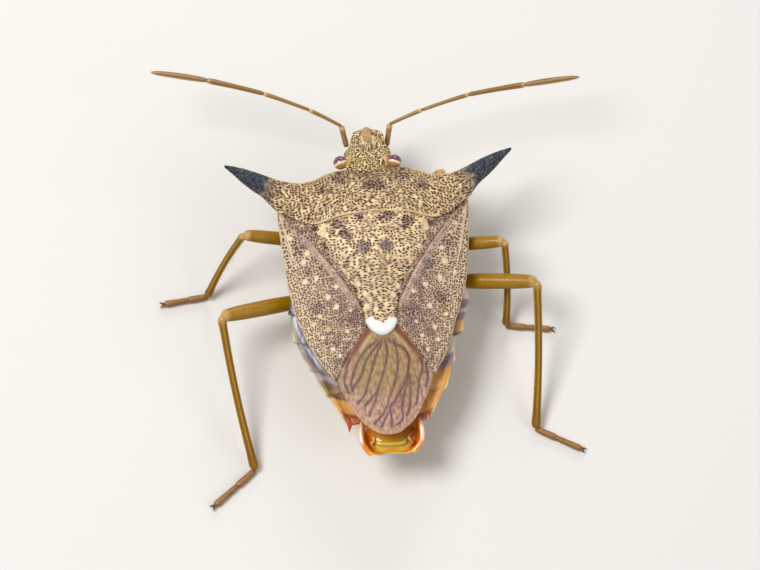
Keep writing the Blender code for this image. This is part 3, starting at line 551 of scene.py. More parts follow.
def tinted_chitin(name, rough, gloss, glow=0.0, grain=0.2, speckle=None, furrow=None, shine=0.5):
    """Smooth hardened cuticle in the colours of the piece's tint mark, some of it see-through like amber."""
    material, tree, shader = new_material(name)
    skin = add_node(tree, "ShaderNodeAttribute", attribute_name="skin").outputs["Vector"]
    colour = add_node(tree, "ShaderNodeAttribute", attribute_name="tint").outputs["Color"]
    fine = add_node(tree, "ShaderNodeTexNoise", {"Vector": skin, "Scale": 9.0, "Detail": 3.0}).outputs["Fac"]
    if speckle:
        specks = add_node(tree, "ShaderNodeMapRange", {"Value": fine, "From Min": 0.5, "From Max": 0.66,
                                                       "To Max": 0.55}).outputs["Result"]
        colour = mixed(tree, specks, colour, speckle)
    # Painted shade: the colour is darkened by how deep a point lies in a furrow
    if furrow:
        depth = add_node(tree, "ShaderNodeSeparateXYZ", {0: skin}).outputs["Z"]
        colour = mixed(tree, depth, colour, furrow)
    relief = add_node(tree, "ShaderNodeBump", {"Height": fine, "Strength": grain, "Distance": 0.02 * MM})
    shader.inputs["Roughness"].default_value = rough
    shader.inputs["Specular IOR Level"].default_value = shine
    shader.inputs["Coat Weight"].default_value = gloss
    shader.inputs["Coat Roughness"].default_value = 0.12
    shader.inputs["Subsurface Weight"].default_value = glow
    shader.inputs["Subsurface Radius"].default_value = (1.0, 0.42, 0.1)
    shader.inputs["Subsurface Scale"].default_value = 0.35 * MM
    tree.links.new(colour, shader.inputs["Base Color"])
    tree.links.new(relief.outputs["Normal"], shader.inputs["Normal"])
    return material


def wing_tip_film(name, colours):
    """Thin brown film of the wing tips: silky, crinkled along its length, with dark raised veins."""
    material, tree, shader = new_material(name)
    skin = add_node(tree, "ShaderNodeAttribute", attribute_name="skin").outputs["Vector"]
    streaked = add_node(tree, "ShaderNodeMapping", {"Vector": skin, "Scale": (9.0, 4.0, 1.0)})
    streaks = add_node(tree, "ShaderNodeTexNoise",
                       {"Vector": streaked.outputs[0], "Scale": 1.0, "Detail": 5.0, "Roughness": 0.65},
                       noise_dimensions="2D").outputs["Fac"]
    # The streaky tone follows the same noise as the bump, so it is darker where the crinkles sink: partly the film's
    # own tone, partly painted shade
    tone = add_node(tree, "ShaderNodeMapRange", {"Value": streaks, "From Min": 0.36, "From Max": 0.64})
    root = mixed(tree, tone.outputs["Result"], colours.film_dark, colours.film_olive)
    rear = mixed(tree, tone.outputs["Result"], colours.film_shade, colours.film_mauve)
    colour = mixed(tree, marked(tree, "rear"), root, rear)
    colour = mixed(tree, marked(tree, "rust"), colour, colours.film_rust)
    colour = mixed(tree, marked(tree, "fold"), colour, colours.film_fold)
    colour = mixed(tree, marked(tree, "vein"), colour, colours.vein)
    relief = add_node(tree, "ShaderNodeBump", {"Height": streaks, "Strength": 0.7, "Distance": 0.03 * MM})
    shader.inputs["Roughness"].default_value = 0.45
    shader.inputs["Specular IOR Level"].default_value = 0.35
    tree.links.new(colour, shader.inputs["Base Color"])
    tree.links.new(relief.outputs["Normal"], shader.inputs["Normal"])
    return material


def tint_of(size, colour):
    """One colour for every point of a piece."""
    return np.tile(np.array(colour[:], float), (size, 1))


def over(tint, share, colour):
    """Lays a colour over a tint by each point's share."""
    share = np.clip(np.asarray(share, float), 0, 1)[:, None]
    return tint * (1 - share) + np.array(colour[:], float) * share


def colour_property(name, hex_code, description):
    return bpy.props.FloatVectorProperty(name=name, description=description, subtype="COLOR", size=3,
                                         min=0, max=1, default=linear(hex_code))


def length_property(name, millimetres, description):
    return bpy.props.FloatProperty(name=name, description=description, subtype="DISTANCE", unit="LENGTH",
                                   precision=6, default=millimetres * MM)


class ShieldBugSizes(bpy.types.PropertyGroup):
    shoulder_pitch: length_property("Shoulder pits", 0.138, "Spacing of the pits on shoulders and scutellum")
    wing_pitch: length_property("Wing pits", 0.105, "Spacing of the pits on the leathery wings")
    head_pitch: length_property("Head pits", 0.105, "Spacing of the pits on the head")
    vein_width: length_property("Vein width", 0.055, "Half width of a vein in the wing tips")
    vein_rise: length_property("Vein rise", 0.025, "How far a vein stands out of the wing tip")
    hair_length: length_property("Hair length", 0.13, "Length of the fine hairs on legs and feelers")


class ShieldBugColours(bpy.types.PropertyGroup):
    shell: colour_property("Shell", "#f6e0aa", "Straw yellow ground of the scutellum")
    shell_tan: colour_property("Shell tan", "#c9a484", "Pinkish tan blotches in the straw yellow")
    shoulder: colour_property("Shoulder", "#ebd3a0", "Olive straw ground of the shoulders and head")
    shoulder_tan: colour_property("Shoulder tan", "#c29e74", "Brown tan blotches of the shoulders and head")
    spot: colour_property("Spots", "#6e6260", "Slate grey of the scutellum's two round spots")
    smudge: colour_property("Deep smudges", "#5e4656", "Purple black where pits of the scutellum run together")
    # Painted shade on the front of the shoulders; the head uses it for its own tan blotches and pit rings
    shell_shade: colour_property("Shell shade", "#b69a5e", "Olive tan toward the front of the shoulders")
    pit: colour_property("Pits", "#42240e", "Dark brown in the pits")
    dusk: colour_property("Smudges", "#5f5870", "Dusky smudges on the plates")
    wart: colour_property("Warts", "#e8d8b4", "Pale raised warts and rims")
    horn: colour_property("Horns", "#181b22", "Blue black of the shoulder horns")
    # Painted highlight: the blue grey on the horns' wrinkle crests stands in for their sheen
    horn_ridge_highlight: colour_property("Horn ridges", "#6a7584", "Blue grey of the wrinkles on the horns")
    horn_root: colour_property("Horn roots", "#6e5048", "Rusty brown where a horn begins")
    tip_white: colour_property("Tip white", "#f0f0ee", "Enamel white tip of the scutellum")
    wing: colour_property("Wing", "#caab90", "Pinkish tan of the leathery wings")
    wing_mauve: colour_property("Wing mauve", "#947868", "Mauve blotches of the leathery wings")
    wing_pit: colour_property("Wing pits", "#50362a", "Brown in the pits of the wings")
    wing_edge: colour_property("Wing edge", "#dfc49e", "Straw yellow of the wings' outer strip")
    wing_gold: colour_property("Wing gold", "#b58a4e", "Small golden brown flecks of the wings")
    wing_band: colour_property("Wing band", "#c2a69a", "Smooth mauve band beside the inner panel of each wing")
    film_olive: colour_property("Film olive", "#b8966a", "Olive tan of the wing tips")
    # Film dark and film shade go in the hollows of the crinkles: painted shade over the film's own streaky tone
    film_dark: colour_property("Film dark", "#8a6c46", "Darker brown at the wing tips' root")
    film_mauve: colour_property("Film mauve", "#d0a890", "Pinkish mauve toward the wing tips' end")
    film_shade: colour_property("Film shade", "#966e5e", "Darker mauve in the crinkles")
    film_rust: colour_property("Film rust", "#7c4034", "Rusty red beside the scutellum's tip")
    film_fold: colour_property("Film fold", "#c9a87a", "Pale folds at the wing tips' root")
    vein: colour_property("Veins", "#5c3c42", "Dark purple of the veins")
    belly: colour_property("Belly", "#c9a974", "Pale ochre underside")
    rim_black: colour_property("Rim black", "#3e3240", "Brown black blocks on the abdomen's rim")
    rim_grey: colour_property("Rim grey", "#8e8272", "Grey olive blocks on the abdomen's left rim")
    rim_purple: colour_property("Rim purple", "#645670", "Purple along the inner half of the rim")
    # Painted reflection: the bluish streak on the left rim stands in for the sky reflected in its gloss
    rim_shine: colour_property("Rim shine", "#e4eafc", "Bluish bloom on the rim beside the wings")
    rim_plum: colour_property("Rim plum", "#a88e94", "Dark plum block on the abdomen's rim")
    rim_mauve: colour_property("Rim mauve", "#f2dcd0", "Pale mauve block on the abdomen's rim")
    rim_tan: colour_property("Rim tan", "#e2b47c", "Orange tan block behind the plum one")
    rim_olive: colour_property("Rim olive", "#84603c", "Olive brown block on the abdomen's rim")
    rim_orange: colour_property("Rim orange", "#dc984e", "Orange blocks on the abdomen's rim")
    rim_red: colour_property("Rim red", "#b05028", "Rusty red near the tail")
    rim_edge: colour_property("Rim edge", "#e6d39c", "Cream line along the abdomen's edge")
    capsule: colour_property("Capsule", "#dd8b1e", "Orange of the tail capsule")
    capsule_deep: colour_property("Capsule deep", "#c85a0a", "Deep orange inside the capsule")
    capsule_floor: colour_property("Capsule floor", "#dcb83c", "Amber yellow floor of the capsule")
    # Painted highlight: the pale pink laid along the tops of the capsule's lips
    capsule_lip_highlight: colour_property("Capsule lip", "#fae0c8", "Pale pink shine of the capsule's lips")
    # Painted highlight: the yellow on the capsule's rear corners is a glint painted into the colour
    capsule_glint: colour_property("Capsule corners", "#f5cf3e", "Clear yellow rear corners of the capsule")
    nose: colour_property("Nose", "#b48a58", "Smooth tan of the head's front lobe and temples")
    eye: colour_property("Eye", "#6a3f58", "Purple of the eyes")
    # Painted reflection: the cream band across the back of each eye stands in for light reflected in it
    eye_glow: colour_property("Eye band", "#efd6a4", "Cream band across each eye")
    eye_amber: colour_property("Eye amber", "#b08048", "Amber back of each eye")
    ocellus: colour_property("Ocellus", "#6a0f18", "Red of the two small simple eyes")
    leg: colour_property("Leg", "#9b6e00", "Amber of the legs")
    # Olive amber specks of legs and beak; under the thighs it is painted shade
    leg_olive_and_shade: colour_property("Leg olive", "#6c5600", "Olive amber under the thighs")
    # Pale knees and feeler rings; on the tops of thighs and feet it is a painted highlight
    leg_pale_and_highlight: colour_property("Leg pale", "#d8b47c", "Pale knees and rings")
    shin: colour_property("Shin", "#ae842c", "Tan amber of the shins")
    # Brown specks of the feet; in the shins' furrows it is painted shade
    shin_furrow: colour_property("Shin furrow", "#6e4818", "Brown in the furrows of the shins")
    tarsus: colour_property("Foot", "#865414", "Rusty amber of the feet")
    claw: colour_property("Claw", "#3a2216", "Black brown of the claws")
    feeler: colour_property("Feeler", "#987238", "Tan of the feelers")
    # Brown specks of the feelers; in their furrows it is painted shade
    feeler_furrow: colour_property("Feeler furrow", "#7a5224", "Brown in the furrows of the feelers")
    feeler_tip: colour_property("Feeler tip", "#b0925c", "Paler tan of the last length")


class ShieldBugStage(bpy.types.PropertyGroup):
    floor: colour_property("Floor", "#e4e1dc", "Plain pale floor")
    floor_reach: length_property("Floor reach", 900, "Half width of the floor")
    key_power: bpy.props.FloatProperty(name="Key light", description="Power of the large window light",
                                       unit="POWER", default=0.37)
    fill_power: bpy.props.FloatProperty(name="Fill light", description="Power of the low fill light",
                                        unit="POWER", default=0.12)
    sky: bpy.props.FloatProperty(name="Sky", description="Strength of the even light from all round",
                                 default=0.36, min=0)


def pronotum_sections(stations, sides):
    """Sections of the shoulder shield across the body, each a loop from its front edge over the top and back."""
    x = stations[:, None]
    out = np.abs(x)
    shift = SPINES_LEFT * ease(3.0, 5.5, out)
    turn = 2 * np.pi * np.arange(sides)[None, :] / sides
    share = (1 - np.cos(turn)) / 2
    upper = np.sin(turn) >= 0
    y = blend(smooth(PRONOTUM_FRONT_Y, out), smooth(PRONOTUM_REAR_Y, out), share)
    edge = blend(smooth(PRONOTUM_FRONT_Z, out), smooth(PRONOTUM_REAR_Z, out), share)
    disc = (1 - (1 - share) ** 2.2) ** 0.8 * (1 - share ** 3)
    oval = np.abs(np.sin(turn))
    crown = smooth(PRONOTUM_CROWN, out) * blend(disc, oval, ease(3.6, 5.0, out))
    keel = smooth(PRONOTUM_DEPTH, out) * oval ** 0.9
    hollows = 0.07 * bump_at(np.hypot(out - 1.37, y - 5.35), 0.4)
    bead = 0.03 * bump_at(y - smooth(PRONOTUM_REAR_Y, out) - 0.06, 0.05) * (1 - ease(3.0, 3.6, out))
    z = edge + np.where(upper, crown - hollows + bead, -keel)
    points = np.stack([x - shift + 0 * y, y, z], axis=2)
    flat = points.reshape(-1, 3)
    spine = ease(4.7, 5.2, np.abs(flat[:, 0]))
    stretched = flat * (0.6, 1.0, 1.0)
    flat[:, 2] += (0.045 * spine * ripple(stretched, 0.16) + 0.03 * ripple(flat, 0.5)) * (
        1 - ease(6.3, SPINE_TIP_X, np.abs(flat[:, 0])))
    return points


def pronotum_marks(points):
    out, y, z = np.abs(points[:, 0]), points[:, 1], points[:, 2]
    out = np.abs(points[:, 0] + SPINES_LEFT * ease(3.0, 5.5, out))
    wander = ripple(points, 0.3)
    along = out + 0.55 * (y - 5.0) + 0.3 * wander + np.where(points[:, 0] > 0, 0.22, 0.0)
    horn = ease(4.5, 4.95, along + 0.35 * ripple(points, 0.12, 7.7))
    root = ease(3.9, 4.6, along) * (1 - horn)
    rear = y - smooth(PRONOTUM_REAR_Y, out)
    margin = bump_at(rear - 0.02, 0.035) * (1 - ease(2.7, 3.1, out)) * (z > 4.5)
    front = smooth(PRONOTUM_FRONT_Y, out) - y
    rim = bump_at(front, 0.05) * ease(1.6, 2.2, out) * (1 - horn)
    # Painted shade: the shoulders are darkened toward their front edge, where the front slope turns away from the light
    shade = ease(0.9, 0.1, front) * (1 - ease(3.0, 4.2, out))
    smudges = spots(points, SHOULDER_SMUDGES, 0.8) * (1 - 0.5 * ease(5.2, 5.5, y))
    dusk = np.maximum(smudges, 0.5 * root * (0.7 + wander))
    return {"dusk": dusk, "horn": horn, "root": root, "shade": shade,
            "pale": np.maximum(margin, 0.8 * rim), "rim": np.maximum(margin, 0.6 * rim),
            "rows": np.maximum(ease(-0.15, 0.15, ripple(points, 0.9, 4.0)) * (1 - ease(2.0, 3.2, out)),
                               ease(3.7, 4.1, out))}


def scutellum_place(across, along):
    """Where the scutellum's grid lies: tucked under the shoulders in front, rounded at its tip."""
    side = 2 * across - 1
    tip = SCUTELLUM_TIP_Y + 0.77 * (1 - np.sqrt(np.maximum(1 - side * side, 0)))
    base = smooth(PRONOTUM_REAR_Y, 2.6 * np.abs(side)) + 0.12
    y = blend(tip, base, along)
    x = side * smooth(SCUTELLUM_X, y) + midline(y)
    roll = edge_roll(across, along, 0.2, 3.4, 5.4)
    tuck = 0.14 * ease(0.9, 1.0, along)
    pits = sum(0.2 * bump_at(np.hypot(x - px, y - py), radius) for px, py, radius in BASAL_PITS)
    z = back_height(x, y) + 0.13 * (1 - side ** 4) - 0.12 * roll - tuck - pits
    return np.stack([x, y, z], axis=1)


def scutellum_marks(points):
    x, y = points[:, 0], points[:, 1]
    wander = ripple(points, 0.1, 1.3)
    heart = -1.7 + 0.24 * ease(0.0, 0.42, np.abs(x - midline(y))) + 0.14 * wander
    white = 1 - ease(-0.03, 0.03, y - heart)
    warts, calluses = spots(points, SCUTELLUM_WARTS, 0.5), spots(points, SCUTELLUM_CALLUSES, 0.5)
    return {"white": white, "dusk": spots(points, SCUTELLUM_SMUDGES, 0.5),
            "spot": spots(points, SCUTELLUM_SPOTS, 0.4),
            "black": spots(points, BASAL_PITS, 0.3), "wart": np.maximum(warts, 0.4 * calluses),
            "pale": np.maximum(warts + calluses, white),
            "lilac": 0.8 * (1 - ease(0.1, 1.3, np.abs(y - 0.45))) * (0.4 + wander),
            "rows": np.maximum(ease(1.6, 0.8, y), ease(0.0, 0.2, ripple(points, 0.8, 9.0)))}


def wing_place(side, sign):
    """Where a leathery wing's grid lies: clavus, groove, broad field and outer strip, side by side."""
    lines = (WING_INNER_X, CLAVUS_X, EMBOLIUM_X, WING_OUTER_X[side])
    stops = (0.0, 0.3, 0.76, 1.0)

    def place(across, along):
        at_front = np.interp(across, stops, (2.5, 3.9, 4.12, 4.43))
        front = smooth(PRONOTUM_REAR_Y, at_front) + 0.24 - 0.12 * ease(0.9, 1.0, across)
        y = blend(front, CORIUM_TIP_Y, along)
        values = np.stack([smooth(line, y) for line in lines])
        values[:2] += sign * midline(y)
        x = np.empty_like(y)
        for i in range(3):
            inside = (across >= stops[i] - 1e-6) & (across <= stops[i + 1] + 1e-6)
            local = (across[inside] - stops[i]) / (stops[i + 1] - stops[i])
            x[inside] = blend(values[i][inside], values[i + 1][inside], local)
        groove = 0.07 * bump_at(x - values[1], 0.05) + 0.05 * bump_at(x - values[1] - 0.3, 0.04)
        ridge = 0.02 * bump_at(x - values[1] - 0.16, 0.12) + 0.05 * bump_at(x - values[2] - 0.05, 0.07)
        knob = 0.16 * bump_at(np.hypot(x - 4.25, (y - 3.6) * 0.6), 0.25)
        under_shield = 0.16 * (1 - ease(0.0, 0.4, x - values[0])) * ease(-1.9, -1.2, y)
        under_shoulder = 0.12 * (1 - ease(0.0, 0.06, along))
        roll = 0.16 * np.clip(1 - (values[3] - x) / 0.14, 0, 1) ** 2 + 0.05 * np.clip(
            1 - (x - values[0]) / 0.08, 0, 1) ** 2 * (1 - ease(-1.9, -1.2, y))
        z = back_height(x, y) - groove + ridge + knob - under_shield - under_shoulder - roll
        return np.stack([sign * x, y, z], axis=1)

    return place


def wing_marks(side):
    """Marks of a leathery wing: straw outer strip, smooth mauve band beside the clavus, warts and smudges."""
    def marks(points):
        out, y = np.abs(points[:, 0]), points[:, 1]
        clavus = smooth(CLAVUS_X, y) + midline(y) * np.sign(points[:, 0])
        strip, edge = smooth(EMBOLIUM_X, y), smooth(WING_OUTER_X[side], y)
        wander = ripple(points, 0.35, 5.1) + 0.5 * ripple(points, 0.15, 2.2)
        straw = ease(-0.25, 0.2, out - strip + 0.35 * wander)
        corner = ease(-0.1, 0.35, wander) * ease(-1.4, -2.6, y)
        upper = ease(0.2, 2.2, y + 2.2 * (out - clavus) - 1.2) * ease(0.1, 0.5, out - clavus) * 0.7
        length = ease(-1.2, -0.6, y) * (1 - 0.8 * ease(2.2, 3.4, y)) * (0.75 + 0.5 * wander)
        band = ease(-0.04, 0.02, out - clavus) * (1 - ease(0.3, 0.36, out - clavus)) * length
        seam = (bump_at(out - clavus + 0.05, 0.03) + 0.8 * bump_at(out - clavus - 0.37, 0.025)) * length
        smooth_strips = band * (1 - bump_at(out - clavus - 0.17, 0.035))
        below = points[:, 2] - back_height(points[:, 0], y)
        rim = bump_at(out - edge, 0.025) * ease(-0.3, -0.2, below)
        keel = bump_at(out - strip - 0.04, 0.05) * ease(1.0, 2.2, y)
        warts = spots(points, WING_WARTS[side], 0.4)
        return {"edge": np.maximum(np.maximum(straw, upper), 0.75 * corner), "band": np.maximum(band, 0.5 * keel),
                "pale": np.clip(warts + 0.6 * rim + 0.45 * smooth_strips + 0.5 * keel, 0, 1), "seam": 0.7 * seam,
                "rows": 0 * y, "coarse": np.clip((y + 1.5) / 5, 0, 1),
                "black": spots(points, BASAL_PITS, 0.3), "gold": spots(points, WING_GOLD, 0.7),
                "wart": np.maximum(0.85 * warts, 0.6 * rim), "dusk": 0.7 * spots(points, WING_SMUDGES[side], 0.9)}

    return marks


def vein_line(points, per_step=8):
    """A vein's points, closely spaced on a smooth curve through those given."""
    points = np.array(points, float)
    padded = np.vstack([2 * points[0] - points[1], points, 2 * points[-1] - points[-2]])
    line = []
    for a, b, c, d in zip(padded, padded[1:], padded[2:], padded[3:]):
        for t in np.linspace(0, 1, per_step, endpoint=False):
            line.append(0.5 * (2 * b + (c - a) * t + (2 * a - 5 * b + 4 * c - d) * t * t
                               + (3 * b - a - 3 * c + d) * t ** 3))
    return np.array(line + [points[-1]])


def vein_closeness(x, y, width):
    """1 on a vein's middle line, falling to 0 beside it."""
    places = np.stack([x, y], axis=1)
    near = np.full(len(places), 9.0)
    for vein in VEINS:
        for point in vein_line(vein):
            near = np.minimum(near, np.hypot(places[:, 0] - point[0], places[:, 1] - point[1]))
    return bump_at(near, width)


def membrane_place(first, last, lift, vein_width, vein_rise):
    """Where a wing tip's grid lies: a fan from the scutellum's tip to the rounded end."""
    def place(across, along):
        side = blend(first, last, across)
        y = blend(MEMBRANE_ROOT_Y, smooth(MEMBRANE_END_Y, np.abs(side)), along)
        x = side * blend(*MEMBRANE_HALF_WIDTHS, np.minimum(along * 1.2, 1.0) ** 0.8)
        folds = 0.02 * np.sin(x * 9 + 1.5 * np.sin(y * 1.7)) * ease(0.1, 0.5, along)
        lip = 0.05 * ease(0.9, 1.0, along)
        z = back_height(x, y) - 0.1 + lift + folds - lip + vein_rise * vein_closeness(x, y, vein_width)
        return np.stack([x, y, z], axis=1)

    return place


def membrane_marks(vein_width):
    def marks(points):
        x, y = points[:, 0], points[:, 1]
        out = np.abs(x)
        beside = out - smooth(WING_INNER_X, y)
        rust = bump_at(beside + 0.14, 0.2) * ease(-3.6, -2.7, y) * 0.95
        rust = np.maximum(rust, 0.45 * bump_at(np.hypot((x - 0.7) * 1.3, (y + 5.1) * 0.6), 0.35))
        fold = bump_at(beside + 0.42, 0.1) * ease(-3.0, -2.6, y) * (1 - ease(-2.2, -2.0, y)) * 0.8
        brim = bump_at(y - smooth(MEMBRANE_END_Y, np.minimum(out / MEMBRANE_HALF_WIDTHS[1], 1)) - 0.1, 0.12)
        return {"vein": 0.95 * vein_closeness(x, y, vein_width * 1.2) * ease(-2.1, -2.6, y),
                "rear": np.clip(ease(-4.2, -5.6, y) + 0.8 * ease(1.2, 1.9, out), 0, 1),
                "rust": rust, "fold": np.maximum(fold, 0.25 * brim)}

    return marks


def right_bulge(side, y):
    """How much further the abdomen's rim reaches out on the right, beside the wing, where side is above 0."""
    front = 0.25 * ease(0.6, -0.4, y) + 0.07 * ease(-0.5, -0.62, y) * (1 - ease(-0.7, -1.5, y))
    return np.where(y > SEGMENT_SUTURES_Y[2], front, 0.12) * (side > 0)


def abdomen_sections(rings, sides):
    """Sections of the abdomen: each segment's rim steps out to a small tooth at its end."""
    turn = 2 * np.pi * np.arange(sides)[None, :] / sides
    ys = []
    flares = []
    for start, end in zip(SEGMENT_SUTURES_Y, SEGMENT_SUTURES_Y[1:]):
        share = np.linspace(0.015, 0.985, rings)
        ys.append(blend(start, end, share))
        flares.append(blend(0.975, 1.015, share ** 1.5) - 0.03 * ease(0.94, 1.0, share))
    y, flare = np.concatenate(ys)[:, None], np.concatenate(flares)[:, None]
    half = smooth(ABDOMEN_HALF_WIDTH, y) * flare + right_bulge(np.sin(turn), y)
    x = half * rounded(np.sin(turn), 0.8)
    across = np.minimum(np.abs(x) / half, 1.0)
    rim = back_height(half, y) - 0.55
    roof = blend(back_height(x, y) - 0.75, rim, ease(0.7, 0.97, across)) + 0.06 * bump_at(across - 0.93, 0.04)
    groove = 0.06 * bump_at(np.min(np.abs(y - np.array(SEGMENT_SUTURES_Y)[None, :]), axis=1)[:, None], 0.05)
    belly = smooth(BELLY_Z, y)
    hull = rim - 0.12 - (rim - 0.12 - belly) * np.sqrt(np.maximum(1 - across ** 2, 0)) ** 0.9 + groove
    z = np.where(np.cos(turn) >= 0, roof - groove, hull)
    return np.stack([x + smooth(ABDOMEN_MIDDLE_X, y), y + 0 * x, z], axis=2)


def abdomen_marks(colours):
    """Colours of the abdomen: blocks of black, olive, plum and orange along its rim, ochre below."""
    def marks(points):
        x, y, z = points.T
        x = x - smooth(ABDOMEN_MIDDLE_X, y)
        half = smooth(ABDOMEN_HALF_WIDTH, y) + right_bulge(x, y)
        out = np.abs(x)
        slant = y - 0.35 * (out - half) + 0.1 * ripple(points, 0.3, 2.0)
        suture = np.array(SEGMENT_SUTURES_Y)[np.argmin(np.abs(slant[:, None] - SEGMENT_SUTURES_Y), axis=1)]
        tint = tint_of(len(points), colours.rim_olive)
        for side, sign in SIDES:
            here = x * sign > 0
            last = 1.0
            for end, label in RIM_BLOCKS[side]:
                block = ease(last + 0.05, last - 0.05, slant) * here
                tint = over(tint, block, getattr(colours, label))
                tint = over(tint, (0.35 - 0.15 * sign) * here * bump_at(slant - last, 0.06), colours.rim_black)
                last = end
        mottle = ease(0.05, 0.3, ripple(points, 0.2, 6.0))
        tint = over(tint, 0.15 * mottle * ((y < -4.3) | (x < 0)), colours.rim_edge)
        inner = ease(-0.12, -0.24, out - half)
        tint = over(tint, 0.6 * inner * ease(-3.3, -3.0, y) * np.where(x > 0, 0.3, 1.0), colours.rim_purple)
        # Painted reflection: a pale bluish streak along the left rim beside the wing, in place of the sky's reflection
        inset = blend(0.25, 0.48, ease(-0.5, -3.1, y))
        painted_sky_reflection = bump_at(out - half + inset, 0.058) * ease(-3.35, -3.1, y) * ease(0.1, 0.4, np.abs(slant - suture) / 0.3)
        tint = over(tint, painted_sky_reflection * (x < 0), colours.rim_shine)
        below = 1 - ease(-0.35, -0.2, z - (back_height(half, y) - 0.55))
        tint = over(tint, bump_at(out - half, 0.045) * ease(-0.8, -1.2, y), colours.rim_edge)
        speckle = ease(0.1, 0.3, ripple(points, 0.12, 8.0))
        tint = over(tint, below, colours.belly)
        tint = over(tint, below * speckle * 0.5, colours.rim_olive)
        for centre in (-1.3, -2.6, -3.9, -5.0):
            spiracle = bump_at(np.hypot(y - centre, (out - half * 0.8)), 0.09) * below
            tint = over(tint, spiracle, colours.rim_black)
        return {"tint": tint}

    return marks


def capsule_sections(sides):
    """Rings of the tail capsule: out from its keel, up its wall, over the rim and down to its floor."""
    turn = 2 * np.pi * np.arange(sides) / sides
    wide = rounded(np.sin(turn), 0.74)
    long = rounded(np.cos(turn), 0.7)
    rear = long < 0
    x = CAPSULE_HALF_WIDTH * wide * (1 - 0.2 * np.maximum(-long, 0) ** 3)
    y = long * np.where(rear, 0.98, 0.9) + 0.2 * bump_at(wide, 0.45) * rear
    sill = -0.28 * bump_at(wide, 0.62) * ease(0.3, 0.9, -long)
    rings = np.array(((0.12, 1.98, 0.0), (0.4, 2.0, 0.0), (0.66, 2.08, 0.05), (0.84, 2.24, 0.15),
                      (0.94, 2.42, 0.35), (0.985, 2.6, 0.6), (1.0, 2.72, 0.9), (0.995, 2.82, 1.0),
                      (0.975, 2.87, 1.0), (0.94, 2.86, 1.0), (0.91, 2.8, 1.0), (0.88, 2.7, 0.8),
                      (0.84, 2.58, 0.5), (0.77, 2.5, 0.25), (0.66, 2.47, 0.1), (0.5, 2.5, 0.0),
                      (0.3, 2.54, 0.0), (0.1, 2.56, 0.0)))
    order = np.linspace(0, len(rings) - 1, 70)
    picked = np.stack([smooth(list(enumerate(rings[:, axis])), order) for axis in range(3)], axis=1)
    sections = []
    for scale, level, rimmed in picked:
        fold = 0.045 * bump_at(scale * y + 0.32, 0.11) * (1 - ease(0.3, 0.6, np.abs(scale * x))) * (level > 2.4)
        z = level + sill * rimmed + fold * (scale < 0.8)
        sections.append(np.stack([CAPSULE_CENTRE[0] + x * scale, CAPSULE_CENTRE[1] + y * scale, z], axis=1))
    return np.array(sections)


def capsule_marks(colours):
    """Colours of the tail capsule: amber walls, a yellow floor and deep orange hollows, with a painted pale pink
    highlight along the tops of the lips and painted yellow glints on the rear corners.
    """
    def marks(points):
        x, y, z = points.T
        x = x - CAPSULE_CENTRE[0]
        above = ease(2.42, 2.47, z)
        inside = ease(0.2, 0.4, 1 - np.hypot(x / 1.4, (y - CAPSULE_CENTRE[1]) / 1.2)) * above
        tint = tint_of(len(points), colours.capsule)
        tint = over(tint, inside * ease(-6.3, -6.8, y), colours.capsule_floor)
        deep = bump_at(np.hypot((np.abs(x) - 1.05) * 2.6, (y + 6.72) * 1.1), 0.55) * above * (z < 2.86)
        tint = over(tint, 0.9 * deep, colours.capsule_deep)
        # Painted highlight: pale pink along the tops of the lips
        lip = ease(0.88, 0.95, np.abs(x) / CAPSULE_HALF_WIDTH) * ease(-7.1, -6.7, y) * ease(2.95, 3.04, z)
        tint = over(tint, 0.95 * lip, colours.capsule_lip_highlight)
        # Painted highlight: yellow glints on the rear corners
        corner = bump_at(np.hypot(np.abs(x) - 0.93, y + 7.4), 0.2) * ease(2.7, 2.85, z)
        return {"tint": over(tint, 0.9 * corner, colours.capsule_glint)}

    return marks


def head_sections(rings, sides):
    """Sections of the head from its back to its tip, each a loop from the crown round under the throat."""
    y = blend(HEAD_BACK_Y, HEAD_TIP_Y, np.linspace(0, 1, rings) ** 0.85)[:, None]
    turn = 2 * np.pi * np.arange(sides)[None, :] / sides
    lift = np.cos(turn)
    half, edge = smooth(HEAD_HALF_WIDTH, y), smooth(HEAD_EDGE_Z, y)
    top, under = smooth(HEAD_TOP_Z, y), smooth(HEAD_UNDER_Z, y)
    x = half * rounded(np.sin(turn), 0.85) * (1 - 0.5 * np.clip(-lift * 2.2, 0, 1))
    front = ease(6.62, 6.8, y)
    clypeus = smooth(CLYPEUS_HALF_WIDTH, y)
    groove = 0.1 * bump_at(np.abs(x) - clypeus, 0.05) * front * (1 - ease(7.7, 7.9, y))
    swell = 0.07 * bump_at(x, 0.2) * front + 0.05 * bump_at(np.abs(x) - half, 0.08) * (lift > 0) * front
    temple = 0.1 * bump_at(np.hypot(np.abs(x) - 0.9, y - 6.3), 0.2)
    crown = edge + (top - edge) * np.maximum(lift, 0) ** 0.8 - groove + swell + temple * (lift > 0)
    jaw = blend(edge - 0.1, under, np.maximum(-lift, 0))
    z = np.where(lift >= 0, crown, jaw)
    return np.stack([x + smooth(HEAD_MIDDLE_X, y), y + 0 * x, z], axis=2)


